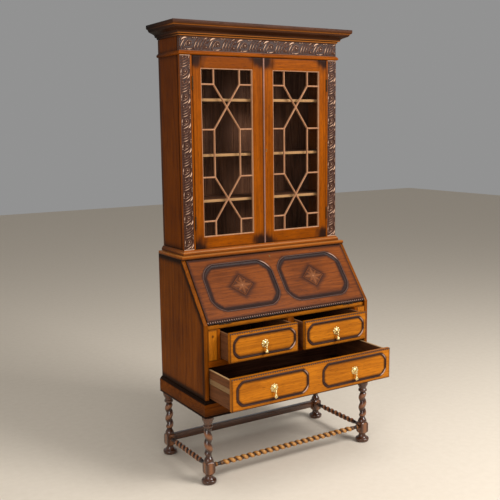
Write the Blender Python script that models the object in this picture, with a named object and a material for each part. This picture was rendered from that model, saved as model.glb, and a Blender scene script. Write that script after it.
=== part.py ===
"""Secretary desk: an oak bureau bookcase on barley-twist legs.

A glazed bookcase with two doors stands on a bureau with a sloping fall, two
half-width drawers and one long drawer.  The bureau stands on a stand of four
twisted legs joined by stretchers.

Frame: metres, +Z up, +X to the viewer's right, the front looks along -Y.  The
origin is on the floor under the middle of the whole object as it stands, with
its three drawers a little open.  Positions from front to back are written as
depths measured forward from the flat back of the desk.
"""
import math

import bmesh
import bpy
from mathutils import Matrix, Vector

# ---------------------------------------------------------------- dimensions
GAP = 0.0003                      # between pieces that touch
RUN = 0.0015                      # between pieces that slide past each other

# carcase of the bureau
CARCASE_HALF = 0.4575
CARCASE_DEPTH = 0.444
PANEL = 0.018                     # side panels of both carcases
BACK_BOARD = 0.0097
PANEL_INNER = CARCASE_HALF - PANEL

# stand
STAND_FRAME_BOTTOM = 0.311
STAND_BOARD_TOP = 0.377
STAND_FRAME_TOP = 0.389
STAND_PROJECTION = 0.0135
STAND_RAIL = 0.030
LEG_X = 0.4425
LEG_FRONT = 0.4320
LEG_BACK = 0.0335
LEG_SIDES = 12
TWIST_PITCH = 0.052
TWIST_RIDGE = 0.0198
TWIST_VALLEY = 0.0125
BLOCK_HALF = 0.022
BLOCK_BOTTOM = 0.043
BLOCK_TOP = 0.100
STRETCHER_Z = 0.079
STRETCHER_R = 0.0132

# levels inside the bureau
LONG_BOTTOM = 0.3905
LONG_TOP = 0.536
RAIL_TOP = 0.5645
SMALL_BOTTOM = 0.566
SMALL_TOP = 0.7005
BED_BOTTOM = 0.704
BED_TOP = 0.722
BUREAU_TOP_BOTTOM = 0.990
BUREAU_TOP_TOP = 1.0062
BUREAU_TOP_DEPTH = 0.2505

# sloping fall, hinged at its lower inner corner
FALL_TILT = math.radians(37.8)    # from the vertical
FALL_THICKNESS = 0.018
FALL_LENGTH = 0.3215
FALL_HALF = PANEL_INNER - 0.001
HINGE_DEPTH = 0.4328
HINGE_Z = BED_TOP

# drawers, stored as they stand: a little open
FRONT_THICKNESS = 0.020
LONG_PULL = 0.195
SMALL_PULL = {"left": 0.085, "right": 0.089}
LONG_HALF = PANEL_INNER - 0.0035
PARTITION_INNER = 0.3785
PARTITION = 0.014
MUNTIN_HALF = 0.0165
LOPER_LENGTH = 0.400

# handles
PLATE_R = 0.019
PLATE_THICKNESS = 0.003
PIVOT_OUT = 0.0125                # from the drawer's face to the pivot
DROP_R = 0.0085
DROP_LENGTH = 0.044
LONG_HANDLE_X = 0.223

# bookcase
BOOK_HALF = 0.4297
BOOK_DEPTH = 0.2204
BOOK_FLOOR_BOTTOM = 1.0065
BOOK_FLOOR_TOP = 1.0285
DOOR_BOTTOM = 1.030
DOOR_TOP = 1.8965
NECK_BOTTOM = 1.898
NECK_OUT = 0.008
FRIEZE_BOTTOM = 1.916
CORNICE_BOTTOM = 1.978
CORNICE_TOP = 2.041
CORNICE_OVERHANG = 0.056
PILASTER_THICKNESS = 0.020
DOOR_OUTER = 0.369
DOOR_INNER = 0.001
DOOR_THICKNESS = 0.020
PANE_OUTER = 0.327
PANE_INNER = 0.056
PANE_BOTTOM = 1.082
PANE_TOP = 1.843
BAR_HALF = 0.0048
BAR_EDGE = 0.0035
BAR_THICKNESS = 0.009
BAR_SET_BACK = 0.003
GLASS_THICKNESS = 0.0025
REBATE = 0.005                    # seat of the glass around its opening
KNUCKLE_R = 0.0027
KNUCKLE_OUT = 0.003               # knuckle's centre, proud of the door
SHELF_LEVELS = (1.245, 1.454, 1.704)
SHELF_THICKNESS = 0.014

HANDLE_PROJECTION = PIVOT_OUT + DROP_R
BACK_Y = (CARCASE_DEPTH + LONG_PULL + HANDLE_PROJECTION) / 2

# ----------------------------------------------------------------- materials
OAK = ("oak_honey", (0.42, 0.19, 0.055), 0.42, 0.0)
OAK_DARK = ("oak_dark", (0.13, 0.055, 0.022), 0.45, 0.0)
OAK_INNER = ("oak_inner", (0.16, 0.085, 0.04), 0.6, 0.0)
OAK_FALL = ("oak_red", (0.30, 0.11, 0.035), 0.40, 0.0)
BRASS = ("brass", (0.80, 0.62, 0.28), 0.28, 1.0)
GLASS = ("glass", (0.85, 0.90, 0.90), 0.05, 0.0)


def material(spec):
    """Principled material from (name, colour, roughness, metallic)."""
    name, colour, roughness, metallic = spec
    made = bpy.data.materials.get(name) or bpy.data.materials.new(name)
    made.use_nodes = True
    shader = made.node_tree.nodes["Principled BSDF"]
    shader.inputs["Base Color"].default_value = (*colour, 1.0)
    shader.inputs["Roughness"].default_value = roughness
    shader.inputs["Metallic"].default_value = metallic
    return made


# ------------------------------------------------------------------- helpers
def depth_y(depth):
    """World Y of a point this far forward of the desk's back."""
    return BACK_Y - depth


def finish(name, bm, spec, origin=(0.0, 0.0, 0.0), smooth=False):
    """Turn a bmesh in world space into a named object with its own origin."""
    bmesh.ops.remove_doubles(bm, verts=bm.verts, dist=1e-6)
    bmesh.ops.recalc_face_normals(bm, faces=bm.faces)
    bmesh.ops.translate(bm, verts=bm.verts, vec=-Vector(origin))
    mesh = bpy.data.meshes.new(name)
    bm.to_mesh(mesh)
    bm.free()
    if smooth:
        mesh.shade_smooth()
        mesh.set_sharp_from_angle(angle=math.radians(40))
    mesh.materials.append(material(spec))
    made = bpy.data.objects.new(name, mesh)
    made.location = origin
    bpy.context.scene.collection.objects.link(made)
    return made


def add_box(bm, x, depth, z):
    """Add a box between pairs of x, depth and z."""
    centre = Vector((sum(x) / 2, depth_y(sum(depth) / 2), sum(z) / 2))
    size = Vector((abs(x[1] - x[0]), abs(depth[1] - depth[0]), abs(z[1] - z[0])))
    matrix = Matrix.Translation(centre) @ Matrix.Diagonal((*size, 1.0))
    bmesh.ops.create_cube(bm, size=1.0, matrix=matrix)


def board(name, x, depth, z, spec, origin=(0.0, 0.0, 0.0)):
    """One straight board as its own object."""
    bm = bmesh.new()
    add_box(bm, x, depth, z)
    return finish(name, bm, spec, origin)


def extrude_outline(bm, points, sweep):
    """Fill a closed outline of points and extrude it along the sweep vector."""
    face = bm.faces.new([bm.verts.new(point) for point in points])
    grown = bmesh.ops.extrude_face_region(bm, geom=[face])
    moved = [item for item in grown["geom"] if isinstance(item, bmesh.types.BMVert)]
    bmesh.ops.translate(bm, verts=moved, vec=Vector(sweep))


def x_prism(name, outline, x, spec, origin=(0.0, 0.0, 0.0)):
    """A board whose (depth, z) outline runs along X."""
    bm = bmesh.new()
    points = [(x[0], depth_y(depth), z) for depth, z in outline]
    extrude_outline(bm, points, (x[1] - x[0], 0, 0))
    return finish(name, bm, spec, origin)


def cut(target, cutter):
    """Subtract one closed object from another and keep the cutter as a guide."""
    cutter.hide_render = True
    cutter.display_type = "WIRE"
    modifier = target.modifiers.new("cut_" + cutter.name, "BOOLEAN")
    modifier.operation = "DIFFERENCE"
    modifier.solver = "EXACT"
    modifier.object = cutter


def stack_rings(bm, rings):
    """Bridge a stack of equal closed rings and cap both ends."""
    loops = []
    for ring in rings:
        verts = [bm.verts.new(point) for point in ring]
        count = len(verts)
        loops.append([bm.edges.new((verts[i], verts[(i + 1) % count])) for i in range(count)])
    for lower, upper in zip(loops, loops[1:]):
        bmesh.ops.bridge_loops(bm, edges=lower + upper)
    for end in (loops[0], loops[-1]):
        bmesh.ops.contextual_create(bm, geom=end)


def arc(centre, radius, start, stop, steps):
    """Points of an arc in a plane, angles in degrees."""
    points = []
    for i in range(steps + 1):
        angle = math.radians(start + (stop - start) * i / steps)
        points.append((centre[0] + radius * math.cos(angle), centre[1] + radius * math.sin(angle)))
    return points


# --------------------------------------------------------------------- stand
def leg_radius(angle, z, kind, size, hand):
    """Radius of a leg's section at one angle, by the kind of turning."""
    if kind == "square":
        return size / max(abs(math.cos(angle)), abs(math.sin(angle)))
    if kind == "twist":
        phase = angle - hand * 2 * math.pi * z / TWIST_PITCH
        ridge = abs(math.cos(phase / 2)) ** 1.2
        return TWIST_VALLEY + (TWIST_RIDGE - TWIST_VALLEY) * ridge
    return size


def leg_levels():
    """(z, kind, size) of a leg from its foot to its top."""
    foot = [(0.0, "round", 0.026), (0.005, "round", 0.033), (0.013, "round", 0.0345),
            (0.019, "round", 0.031), (0.024, "round", 0.020), (0.034, "round", 0.0165),
            (0.040, "round", 0.017)]
    block = [(BLOCK_BOTTOM, "square", 0.017), (BLOCK_BOTTOM + 0.006, "square", BLOCK_HALF),
             (BLOCK_TOP - 0.004, "square", BLOCK_HALF), (BLOCK_TOP, "round", 0.0222)]
    dome = [(0.113, "round", 0.0195), (0.124, "round", 0.0135), (0.129, "round", 0.0115)]
    twist = [(0.136 + i * 0.0088, "twist", 0.0) for i in range(12)]
    head = [(0.238, "round", 0.0120), (0.247, "round", 0.0165), (0.256, "round", 0.0125),
            (0.262, "round", 0.0215), (0.272, "round", 0.0215), (0.277, "round", 0.018),
            (0.283, "round", 0.0190), (0.291, "round", 0.0225), (0.300, "round", 0.0262),
            (STAND_FRAME_BOTTOM - GAP, "round", 0.0268)]
    return foot + block + dome + twist + head


def leg(name, x, depth, hand):
    """One leg: bun foot, square block, barley twist and turned collar."""
    bm = bmesh.new()
    rings = []
    for z, kind, size in leg_levels():
        ring = []
        for i in range(LEG_SIDES):
            angle = 2 * math.pi * (i + 0.5) / LEG_SIDES
            radius = leg_radius(angle, z, kind, size, hand)
            ring.append((x + radius * math.cos(angle), depth_y(depth) + radius * math.sin(angle), z))
        rings.append(ring)
    stack_rings(bm, rings)
    finish(name, bm, OAK_DARK, smooth=True)


def stretcher(name, start, stop):
    """A turned rail between two leg blocks, at the stretchers' height."""
    bm = bmesh.new()
    start = Vector((start[0], depth_y(start[1]), STRETCHER_Z))
    stop = Vector((stop[0], depth_y(stop[1]), STRETCHER_Z))
    along = (stop - start).normalized()
    start += along * (BLOCK_HALF + GAP)
    stop -= along * (BLOCK_HALF + GAP)
    length = (stop - start).length
    side = along.cross(Vector((0, 0, 1)))
    ends = ((0.0, 0.0085), (0.006, 0.0085), (0.014, 0.0105), (0.024, 0.0085), (0.042, 0.0085),
            (0.048, STRETCHER_R))
    levels = list(ends) + [(length - run, radius) for run, radius in reversed(ends)]
    rings = []
    for run, radius in levels:
        ring = []
        for i in range(LEG_SIDES):
            angle = 2 * math.pi * i / LEG_SIDES
            around = side * math.cos(angle) + Vector((0, 0, 1)) * math.sin(angle)
            ring.append(start + along * run + around * radius)
        rings.append(ring)
    stack_rings(bm, rings)
    finish(name, bm, OAK_DARK, smooth=True)


def rectangle_ring(half, back, front, z):
    """Corner points of a level rectangle."""
    corners = ((-half, back), (half, back), (half, front), (-half, front))
    return [(x, depth_y(depth), z) for x, depth in corners]


def moulded_block(name, levels, half, front, spec):
    """A closed block whose front and sides step out by (projection, z) levels."""
    bm = bmesh.new()
    rings = [rectangle_ring(half + out, 0.0, front + out, z) for out, z in levels]
    stack_rings(bm, rings)
    return finish(name, bm, spec)


def build_stand():
    """Four legs, four stretchers and the moulded frame that they carry."""
    out = STAND_PROJECTION
    levels = ((out - 0.003, STAND_FRAME_BOTTOM), (out, STAND_FRAME_BOTTOM + 0.004),
              (out, STAND_BOARD_TOP), (0.010, STAND_BOARD_TOP + 0.0015),
              (0.008, STAND_BOARD_TOP + 0.006), (0.0045, STAND_BOARD_TOP + 0.0075),
              (0.002, STAND_FRAME_TOP))
    frame = moulded_block("base_frame", levels, CARCASE_HALF, CARCASE_DEPTH + 0.0015, OAK)
    inner = PANEL_INNER + 0.0015
    well = board("base_frame_well", (-inner, inner), (STAND_RAIL, CARCASE_DEPTH + 0.015 - STAND_RAIL),
                 (STAND_FRAME_BOTTOM - 0.02, STAND_FRAME_TOP + 0.02), OAK)
    cut(frame, well)
    for side, sign in (("left", -1), ("right", 1)):
        leg("leg_front_" + side, sign * LEG_X, LEG_FRONT, sign)
        leg("leg_back_" + side, sign * LEG_X, LEG_BACK, -sign)
        stretcher("stretcher_" + side, (sign * LEG_X, LEG_FRONT), (sign * LEG_X, LEG_BACK))
    stretcher("stretcher_front", (-LEG_X, LEG_FRONT), (LEG_X, LEG_FRONT))
    end = LEG_X - BLOCK_HALF - GAP
    board("stretcher_back", (-end, end), (LEG_BACK - 0.011, LEG_BACK + 0.011), (0.064, 0.097), OAK_DARK)


# -------------------------------------------------------------------- bureau
def fall_point(along, out):
    """(depth, z) of a point on the closed fall, from its hinge corner."""
    depth = HINGE_DEPTH - along * math.sin(FALL_TILT) + out * math.cos(FALL_TILT)
    z = HINGE_Z + along * math.cos(FALL_TILT) + out * math.sin(FALL_TILT)
    return depth, z


def slope_depth(z):
    """Depth of the sloping front, flush with the closed fall, at a height."""
    corner_depth, corner_z = fall_point(0.0, FALL_THICKNESS)
    return corner_depth - (z - corner_z) * math.tan(FALL_TILT)


def slope_start():
    """Height at which the side panels leave the upright front."""
    corner_depth, corner_z = fall_point(0.0, FALL_THICKNESS)
    return corner_z + (corner_depth - CARCASE_DEPTH) / math.tan(FALL_TILT)


def build_bureau_carcase():
    """Sides, back, bottom, top, writing bed, rails and partitions."""
    low = STAND_FRAME_TOP + GAP
    high = BUREAU_TOP_BOTTOM - GAP
    outline = [(0.0, low), (CARCASE_DEPTH, low), (CARCASE_DEPTH, slope_start()),
               (slope_depth(high), high), (0.0, high)]
    x_prism("bureau_side_left", outline, (-CARCASE_HALF, -PANEL_INNER), OAK)
    x_prism("bureau_side_right", outline, (PANEL_INNER, CARCASE_HALF), OAK)
    inner = PANEL_INNER - GAP
    board("bureau_back", (-inner, inner), (0.0, BACK_BOARD), (low, high), OAK_INNER)
    inside = BACK_BOARD + GAP
    board("bureau_bottom", (-PANEL_INNER - 0.001, PANEL_INNER + 0.001),
          (STAND_RAIL + 0.0005, CARCASE_DEPTH + 0.0145 - STAND_RAIL),
          (0.3745, STAND_FRAME_TOP - 0.0006), OAK_INNER)
    board("bureau_top", (-CARCASE_HALF, CARCASE_HALF), (0.0, BUREAU_TOP_DEPTH),
          (BUREAU_TOP_BOTTOM, BUREAU_TOP_TOP), OAK)
    rail_bottom = LONG_TOP + RUN
    dust = RAIL_TOP - 0.012
    outline = [(inside, dust), (CARCASE_DEPTH - 0.040, dust), (CARCASE_DEPTH - 0.040, rail_bottom),
               (CARCASE_DEPTH, rail_bottom), (CARCASE_DEPTH, RAIL_TOP), (inside, RAIL_TOP)]
    x_prism("drawer_rail", outline, (-inner, inner), OAK)
    upright = (RAIL_TOP + GAP, BED_BOTTOM - GAP)
    board("drawer_muntin", (-MUNTIN_HALF, MUNTIN_HALF), (inside, CARCASE_DEPTH), upright, OAK)
    for side, sign in (("left", -1), ("right", 1)):
        board("loper_partition_" + side, (sign * PARTITION_INNER, sign * (PARTITION_INNER + PARTITION)),
              (inside, CARCASE_DEPTH), upright, OAK)


def build_fall():
    """Writing bed, fall flap and the two hinges between them."""
    inner = PANEL_INNER - GAP
    bed = board("writing_bed", (-inner, inner), (BACK_BOARD + GAP, HINGE_DEPTH - 0.0005),
                (BED_BOTTOM, BED_TOP), OAK)
    outline = [fall_point(0.0, 0.0), fall_point(0.0, FALL_THICKNESS),
               fall_point(FALL_LENGTH, FALL_THICKNESS), fall_point(FALL_LENGTH, 0.0)]
    hinge = (0.0, depth_y(HINGE_DEPTH), HINGE_Z)
    fall = x_prism("fall_flap", outline, (-FALL_HALF, FALL_HALF), OAK_FALL, hinge)
    for side, sign in (("left", -1), ("right", 1)):
        x = (sign * 0.345 - 0.030, sign * 0.345 + 0.030)
        bm = bmesh.new()
        points = arc((HINGE_DEPTH, HINGE_Z), 0.0026, 180.0, -152.0, 10)
        points += [(HINGE_DEPTH - 0.026, HINGE_Z - 0.0012), (HINGE_DEPTH - 0.026, HINGE_Z)]
        extrude_outline(bm, [(x[0], depth_y(depth), z) for depth, z in points], (x[1] - x[0], 0, 0))
        finish("fall_hinge_" + side, bm, BRASS, smooth=True)
        bm = bmesh.new()
        points = arc((HINGE_DEPTH, HINGE_Z), 0.0030, 180.0, -150.0, 12)
        points += [(HINGE_DEPTH - 0.0265, HINGE_Z - 0.0015), (HINGE_DEPTH - 0.0265, HINGE_Z + 0.002),
                   (HINGE_DEPTH - 0.0030, HINGE_Z + 0.002)]
        wide = (x[0] - 0.0005, x[1] + 0.0005)
        extrude_outline(bm, [(wide[0], depth_y(depth), z) for depth, z in points], (wide[1] - wide[0], 0, 0))
        socket = finish("hinge_socket_" + side, bm, BRASS)
        cut(bed, socket)
        bm = bmesh.new()
        barrel = arc((HINGE_DEPTH, HINGE_Z), 0.0030, 0.0, 345.0, 23)
        extrude_outline(bm, [(wide[0], depth_y(depth), z) for depth, z in barrel], (wide[1] - wide[0], 0, 0))
        barrel_cutter = finish("hinge_barrel_cut_" + side, bm, BRASS)
        cut(fall, barrel_cutter)


def build_pigeonholes():
    """Fitted unit at the back of the writing space, open to the front."""
    half = PANEL_INNER - 0.001
    back = BACK_BOARD + GAP
    front = 0.200
    low, high = BED_TOP + GAP, BUREAU_TOP_BOTTOM - 0.004
    wall = 0.008
    shelf = 0.800
    unit = board("pigeonhole_unit", (-half, half), (back, front), (low, high), OAK_INNER)
    bm = bmesh.new()
    rows = (((low + wall, shelf), 3), ((shelf + wall, high - wall), 6))
    for z, count in rows:
        step = (2 * half - wall) / count
        for i in range(count):
            start = -half + wall + i * step
            add_box(bm, (start, start + step - wall), (back + 0.006, front + 0.02), z)
    cut(unit, finish("pigeonhole_cuts", bm, OAK_INNER))


def build_lopers():
    """Pull-out supports for the open fall."""
    for side, sign in (("left", -1), ("right", 1)):
        x = (sign * (PARTITION_INNER + PARTITION + 0.001), sign * (PANEL_INNER - 0.001))
        origin = (sum(x) / 2, depth_y(CARCASE_DEPTH), (SMALL_BOTTOM + BED_BOTTOM) / 2)
        board("loper_" + side, x, (CARCASE_DEPTH - LOPER_LENGTH, CARCASE_DEPTH),
              (SMALL_BOTTOM, BED_BOTTOM - 0.0005), OAK, origin)


# ------------------------------------------------------------------- drawers
def drawer(name, x, z, pull, box_inset, box_length):
    """A drawer front and the open box behind it, standing open by pull."""
    face = CARCASE_DEPTH + pull
    origin = ((x[0] + x[1]) / 2, depth_y(face), (z[0] + z[1]) / 2)
    board(name + "_front", x, (face - FRONT_THICKNESS, face), z, OAK, origin)
    box_front = face - FRONT_THICKNESS - GAP
    box_back = box_front - box_length
    outer = (x[0] + box_inset, x[1] - box_inset)
    low, high = z[0] + 0.005, z[1] - 0.009
    box = board(name + "_box", outer, (box_back, box_front), (low, high), OAK_INNER, origin)
    well = board(name + "_well", (outer[0] + 0.010, outer[1] - 0.010), (box_back + 0.010, box_front + 0.02),
                 (low + 0.012, high + 0.02), OAK_INNER)
    cut(box, well)
    for index, handle_x in enumerate(handle_positions(x)):
        label = name if len(handle_positions(x)) == 1 else name + ("_left", "_right")[index]
        build_handle(label, handle_x, face, (z[0] + z[1]) / 2)


def handle_positions(x):
    """One handle at the middle of a short drawer, two on a long one."""
    if x[1] - x[0] > 0.6:
        return (-LONG_HANDLE_X, LONG_HANDLE_X)
    return ((x[0] + x[1]) / 2,)


def lathe(bm, profile, origin, axis, side, segments):
    """Close a turned body from (run, radius) points along an axis."""
    origin, axis, side = Vector(origin), Vector(axis), Vector(side)
    third = axis.cross(side)
    rings = []
    for run, radius in profile:
        ring = []
        for i in range(segments):
            angle = 2 * math.pi * i / segments
            ring.append(origin + axis * run + (side * math.cos(angle) + third * math.sin(angle)) * radius)
        rings.append(ring)
    stack_rings(bm, rings)


def build_handle(label, x, face, z):
    """Cast back plate with its pivot post, and the drop that hangs from it."""
    centre_z = z - 0.002
    bm = bmesh.new()
    plate = ((0.0002, PLATE_R), (0.0014, PLATE_R), (PLATE_THICKNESS, PLATE_R - 0.004),
             (PLATE_THICKNESS + 0.0008, 0.0040), (PIVOT_OUT - 0.003, 0.0032), (PIVOT_OUT + 0.0028, 0.0030))
    lathe(bm, plate, (x, depth_y(face), centre_z), (0, -1, 0), (1, 0, 0), 16)
    finish("handle_plate_" + label, bm, BRASS, smooth=True)
    pivot = Vector((x, depth_y(face + PIVOT_OUT), centre_z))
    bm = bmesh.new()
    body = ((0.0044, 0.0042), (0.009, 0.0034), (0.014, 0.0048), (0.020, 0.0040), (0.027, 0.0062),
            (0.034, DROP_R), (0.039, 0.0070), (0.042, 0.0030), (DROP_LENGTH, 0.0012))
    lathe(bm, body, pivot, (0, 0, -1), (1, 0, 0), 12)
    finish("handle_drop_" + label, bm, BRASS, tuple(pivot), smooth=True)


def build_drawers():
    """Two half-width drawers over one long drawer."""
    inner, outer = MUNTIN_HALF + RUN, PARTITION_INNER - RUN
    small_z = (SMALL_BOTTOM, SMALL_TOP)
    drawer("drawer_left", (-outer, -inner), small_z, SMALL_PULL["left"], 0.0025, 0.380)
    drawer("drawer_right", (inner, outer), small_z, SMALL_PULL["right"], 0.0025, 0.380)
    drawer("drawer_long", (-LONG_HALF, LONG_HALF), (LONG_BOTTOM, LONG_TOP), LONG_PULL, 0.0025, 0.385)


# ------------------------------------------------------------------ bookcase
def build_bookcase_carcase():
    """Floor, sides, back, pilasters, frieze, cornice and shelves."""
    levels = ((0.010, BOOK_FLOOR_BOTTOM), (0.010, BOOK_FLOOR_TOP - 0.010), (0.007, BOOK_FLOOR_TOP - 0.005),
              (0.003, BOOK_FLOOR_TOP - 0.002), (0.0015, BOOK_FLOOR_TOP))
    moulded_block("bookcase_floor", levels, BOOK_HALF, BOOK_DEPTH, OAK)
    low, high = BOOK_FLOOR_TOP + GAP, CORNICE_BOTTOM - GAP
    behind = BOOK_DEPTH - PILASTER_THICKNESS - GAP
    board("bookcase_back", (-BOOK_HALF, BOOK_HALF), (0.0, BACK_BOARD), (low, high), OAK_INNER)
    for side, sign in (("left", -1), ("right", 1)):
        board("bookcase_side_" + side, (sign * (BOOK_HALF - PANEL), sign * BOOK_HALF),
              (BACK_BOARD + GAP, behind), (low, high), OAK)
        board("pilaster_" + side, (sign * (DOOR_OUTER + 0.002), sign * BOOK_HALF),
              (BOOK_DEPTH - PILASTER_THICKNESS, BOOK_DEPTH), (low, NECK_BOTTOM - GAP), OAK_DARK)
    board("frieze", (-BOOK_HALF, BOOK_HALF), (BOOK_DEPTH - PILASTER_THICKNESS, BOOK_DEPTH),
          (NECK_BOTTOM, high),
          OAK_DARK)
    levels = ((NECK_OUT - 0.006, NECK_BOTTOM), (NECK_OUT - 0.001, NECK_BOTTOM + 0.002),
              (NECK_OUT, NECK_BOTTOM + 0.006),
              (NECK_OUT - 0.001, FRIEZE_BOTTOM - 0.006), (NECK_OUT - 0.006, FRIEZE_BOTTOM - 0.002),
              (NECK_OUT - 0.006, FRIEZE_BOTTOM))
    neck = moulded_block("neck_moulding", levels, BOOK_HALF, BOOK_DEPTH, OAK)
    hug = BOOK_HALF + GAP
    well = board("neck_well", (-hug, hug), (-0.01, BOOK_DEPTH + GAP),
                 (NECK_BOTTOM - 0.02, FRIEZE_BOTTOM + 0.02), OAK)
    cut(neck, well)
    inner = BOOK_HALF - PANEL - GAP
    board("bookcase_top", (-inner, inner), (BACK_BOARD + GAP, behind), (high - 0.016, high), OAK_INNER)
    for index, level in enumerate(SHELF_LEVELS):
        board("shelf_" + ("lower", "middle", "upper")[index], (-inner, inner),
              (BACK_BOARD + GAP, behind - 0.008),
              (level - SHELF_THICKNESS / 2, level + SHELF_THICKNESS / 2), OAK_INNER)


def build_cornice():
    """Moulded cornice with a closed floor and a shallow well on top."""
    levels = ((0.003, CORNICE_BOTTOM), (0.0075, 1.982), (0.010, 1.987), (0.0155, 1.988), (0.0175, 1.994),
              (0.023, 2.003), (0.0325, 2.011), (0.044, 2.0165), (0.0475, 2.017), (0.0475, 2.020),
              (0.053, 2.022), (CORNICE_OVERHANG, 2.026), (CORNICE_OVERHANG, CORNICE_TOP - 0.003),
              (CORNICE_OVERHANG - 0.003, CORNICE_TOP))
    cornice = moulded_block("cornice", levels, BOOK_HALF, BOOK_DEPTH, OAK)
    well = board("cornice_well", (-BOOK_HALF + 0.010, BOOK_HALF - 0.010), (0.020, BOOK_DEPTH - 0.010),
                 (CORNICE_BOTTOM + 0.014, CORNICE_TOP + 0.02), OAK)
    cut(cornice, well)


# --------------------------------------------------------------------- doors
def pane_cells():
    """Outlines of the thirteen panes in fractions of the glazed opening."""
    left, right = 0.25, 0.75
    rows = (0.0, 0.093, 0.358, 0.642, 0.907, 1.0)
    cross_low = (0.5, (rows[1] + rows[2]) / 2)
    cross_high = (0.5, (rows[3] + rows[4]) / 2)
    cells = []
    for x in ((0.0, left), (right, 1.0)):
        for z in ((rows[0], rows[1]), (rows[2], rows[3]), (rows[4], rows[5])):
            cells.append([(x[0], z[0]), (x[1], z[0]), (x[1], z[1]), (x[0], z[1])])
    for low, high, cross in ((rows[1], rows[2], cross_low), (rows[3], rows[4], cross_high)):
        cells.append([(0.0, low), (left, low), cross, (left, high), (0.0, high)])
        cells.append([(1.0, high), (right, high), cross, (right, low), (1.0, low)])
    cells.append([(left, 0.0), (right, 0.0), (right, rows[1]), cross_low, (left, rows[1])])
    cells.append([(left, 1.0), (left, rows[4]), cross_high, (right, rows[4]), (right, 1.0)])
    cells.append([cross_low, (right, rows[2]), (right, rows[3]), cross_high, (left, rows[3]),
                  (left, rows[2])])
    return cells


def inset_outline(points, limits):
    """Move every edge of a convex outline inwards by half a glazing bar."""
    centre = sum((Vector(point) for point in points), Vector((0, 0))) / len(points)
    lines = []
    for i, start in enumerate(points):
        start, stop = Vector(start), Vector(points[(i + 1) % len(points)])
        normal = Vector((start.y - stop.y, stop.x - start.x)).normalized()
        if normal.dot(centre - start) < 0:
            normal = -normal
        middle = (start + stop) / 2
        at_edge = any(abs(middle[axis] - bound) < 1e-6 for axis, bound in limits)
        lines.append((normal, normal.dot(start) + (BAR_EDGE if at_edge else BAR_HALF)))
    corners = []
    for i, (normal, offset) in enumerate(lines):
        before, before_offset = lines[i - 1]
        det = before.x * normal.y - before.y * normal.x
        corners.append(((before_offset * normal.y - offset * before.y) / det,
                        (before.x * offset - normal.x * before_offset) / det))
    return corners


def pane_cutter(name, x):
    """Thirteen prisms that pierce the lattice of glazing bars."""
    width, height = x[1] - x[0], PANE_TOP - PANE_BOTTOM
    limits = ((0, 0.0), (0, width), (1, 0.0), (1, height))
    y = depth_y(BOOK_DEPTH + 0.01)
    bm = bmesh.new()
    for cell in pane_cells():
        outline = inset_outline([(u * width, v * height) for u, v in cell], limits)
        points = [(x[0] + u, y, PANE_BOTTOM + v) for u, v in outline]
        extrude_outline(bm, points, (0, DOOR_THICKNESS + 0.02, 0))
    return finish(name, bm, OAK)


def build_door(side, sign):
    """Framed door with its glazing bars, its glass and two hinges."""
    hinge_x = sign * (DOOR_OUTER + 0.001)
    origin = (hinge_x, depth_y(BOOK_DEPTH + KNUCKLE_OUT), DOOR_BOTTOM)
    x = sorted((sign * DOOR_OUTER, sign * DOOR_INNER))
    frame = board("door_frame_" + side, x, (BOOK_DEPTH - DOOR_THICKNESS, BOOK_DEPTH), (DOOR_BOTTOM, DOOR_TOP),
                  OAK, origin)
    opening = sorted((sign * PANE_OUTER, sign * PANE_INNER))
    bar_back = BOOK_DEPTH - BAR_SET_BACK - BAR_THICKNESS
    pocket = board("door_pocket_" + side, opening, (BOOK_DEPTH - BAR_SET_BACK, BOOK_DEPTH + 0.01),
                   (PANE_BOTTOM, PANE_TOP), OAK)
    rebate = board("door_rebate_" + side, (opening[0] - REBATE, opening[1] + REBATE),
                   (BOOK_DEPTH - DOOR_THICKNESS - 0.01, bar_back),
                   (PANE_BOTTOM - REBATE, PANE_TOP + REBATE), OAK)
    for cutter in (pocket, rebate, pane_cutter("door_panes_" + side, opening)):
        cut(frame, cutter)
    edge = REBATE - GAP
    board("door_glass_" + side, (opening[0] - edge, opening[1] + edge),
          (bar_back - GAP - GLASS_THICKNESS, bar_back - GAP),
          (PANE_BOTTOM - edge, PANE_TOP + edge), GLASS, origin)
    for level, middle in (("lower", 1.150), ("upper", 1.776)):
        build_door_hinge(side + "_" + level, sign, hinge_x, middle)


def build_door_hinge(label, sign, hinge_x, middle):
    """Brass knuckle in front of the joint, with its leaf between door and pilaster."""
    depth = BOOK_DEPTH + KNUCKLE_OUT
    outline = arc((0.0, 0.0), KNUCKLE_R, -75.0, 255.0, 12)
    outline += [(-0.0004, -0.020), (0.0006, -0.020)]
    bm = bmesh.new()
    points = [(hinge_x + sign * u, depth_y(depth + v), middle - 0.030) for u, v in outline]
    extrude_outline(bm, points, (0, 0, 0.060))
    finish("door_hinge_" + label, bm, BRASS, smooth=True)


def main():
    """Clear the scene and build the desk from the floor up."""
    for old in list(bpy.data.objects):
        bpy.data.objects.remove(old, do_unlink=True)
    build_stand()
    build_bureau_carcase()
    build_fall()
    build_pigeonholes()
    build_lopers()
    build_drawers()
    build_bookcase_carcase()
    build_cornice()
    build_door("left", -1)
    build_door("right", 1)


main()
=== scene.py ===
"""Secretary desk: an oak bureau bookcase on barley-twist legs, dressed for a studio view.

Every position is in metres in the row frame: +Z up, the front looks along -Y.
Depths are measured forward from the flat back of the desk.
"""
import logging
import math
from dataclasses import dataclass, field
from enum import Enum
from typing import Callable, Optional, Sequence, Union

import bmesh
import bpy
import numpy as np
from mathutils import Matrix, Vector


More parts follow.
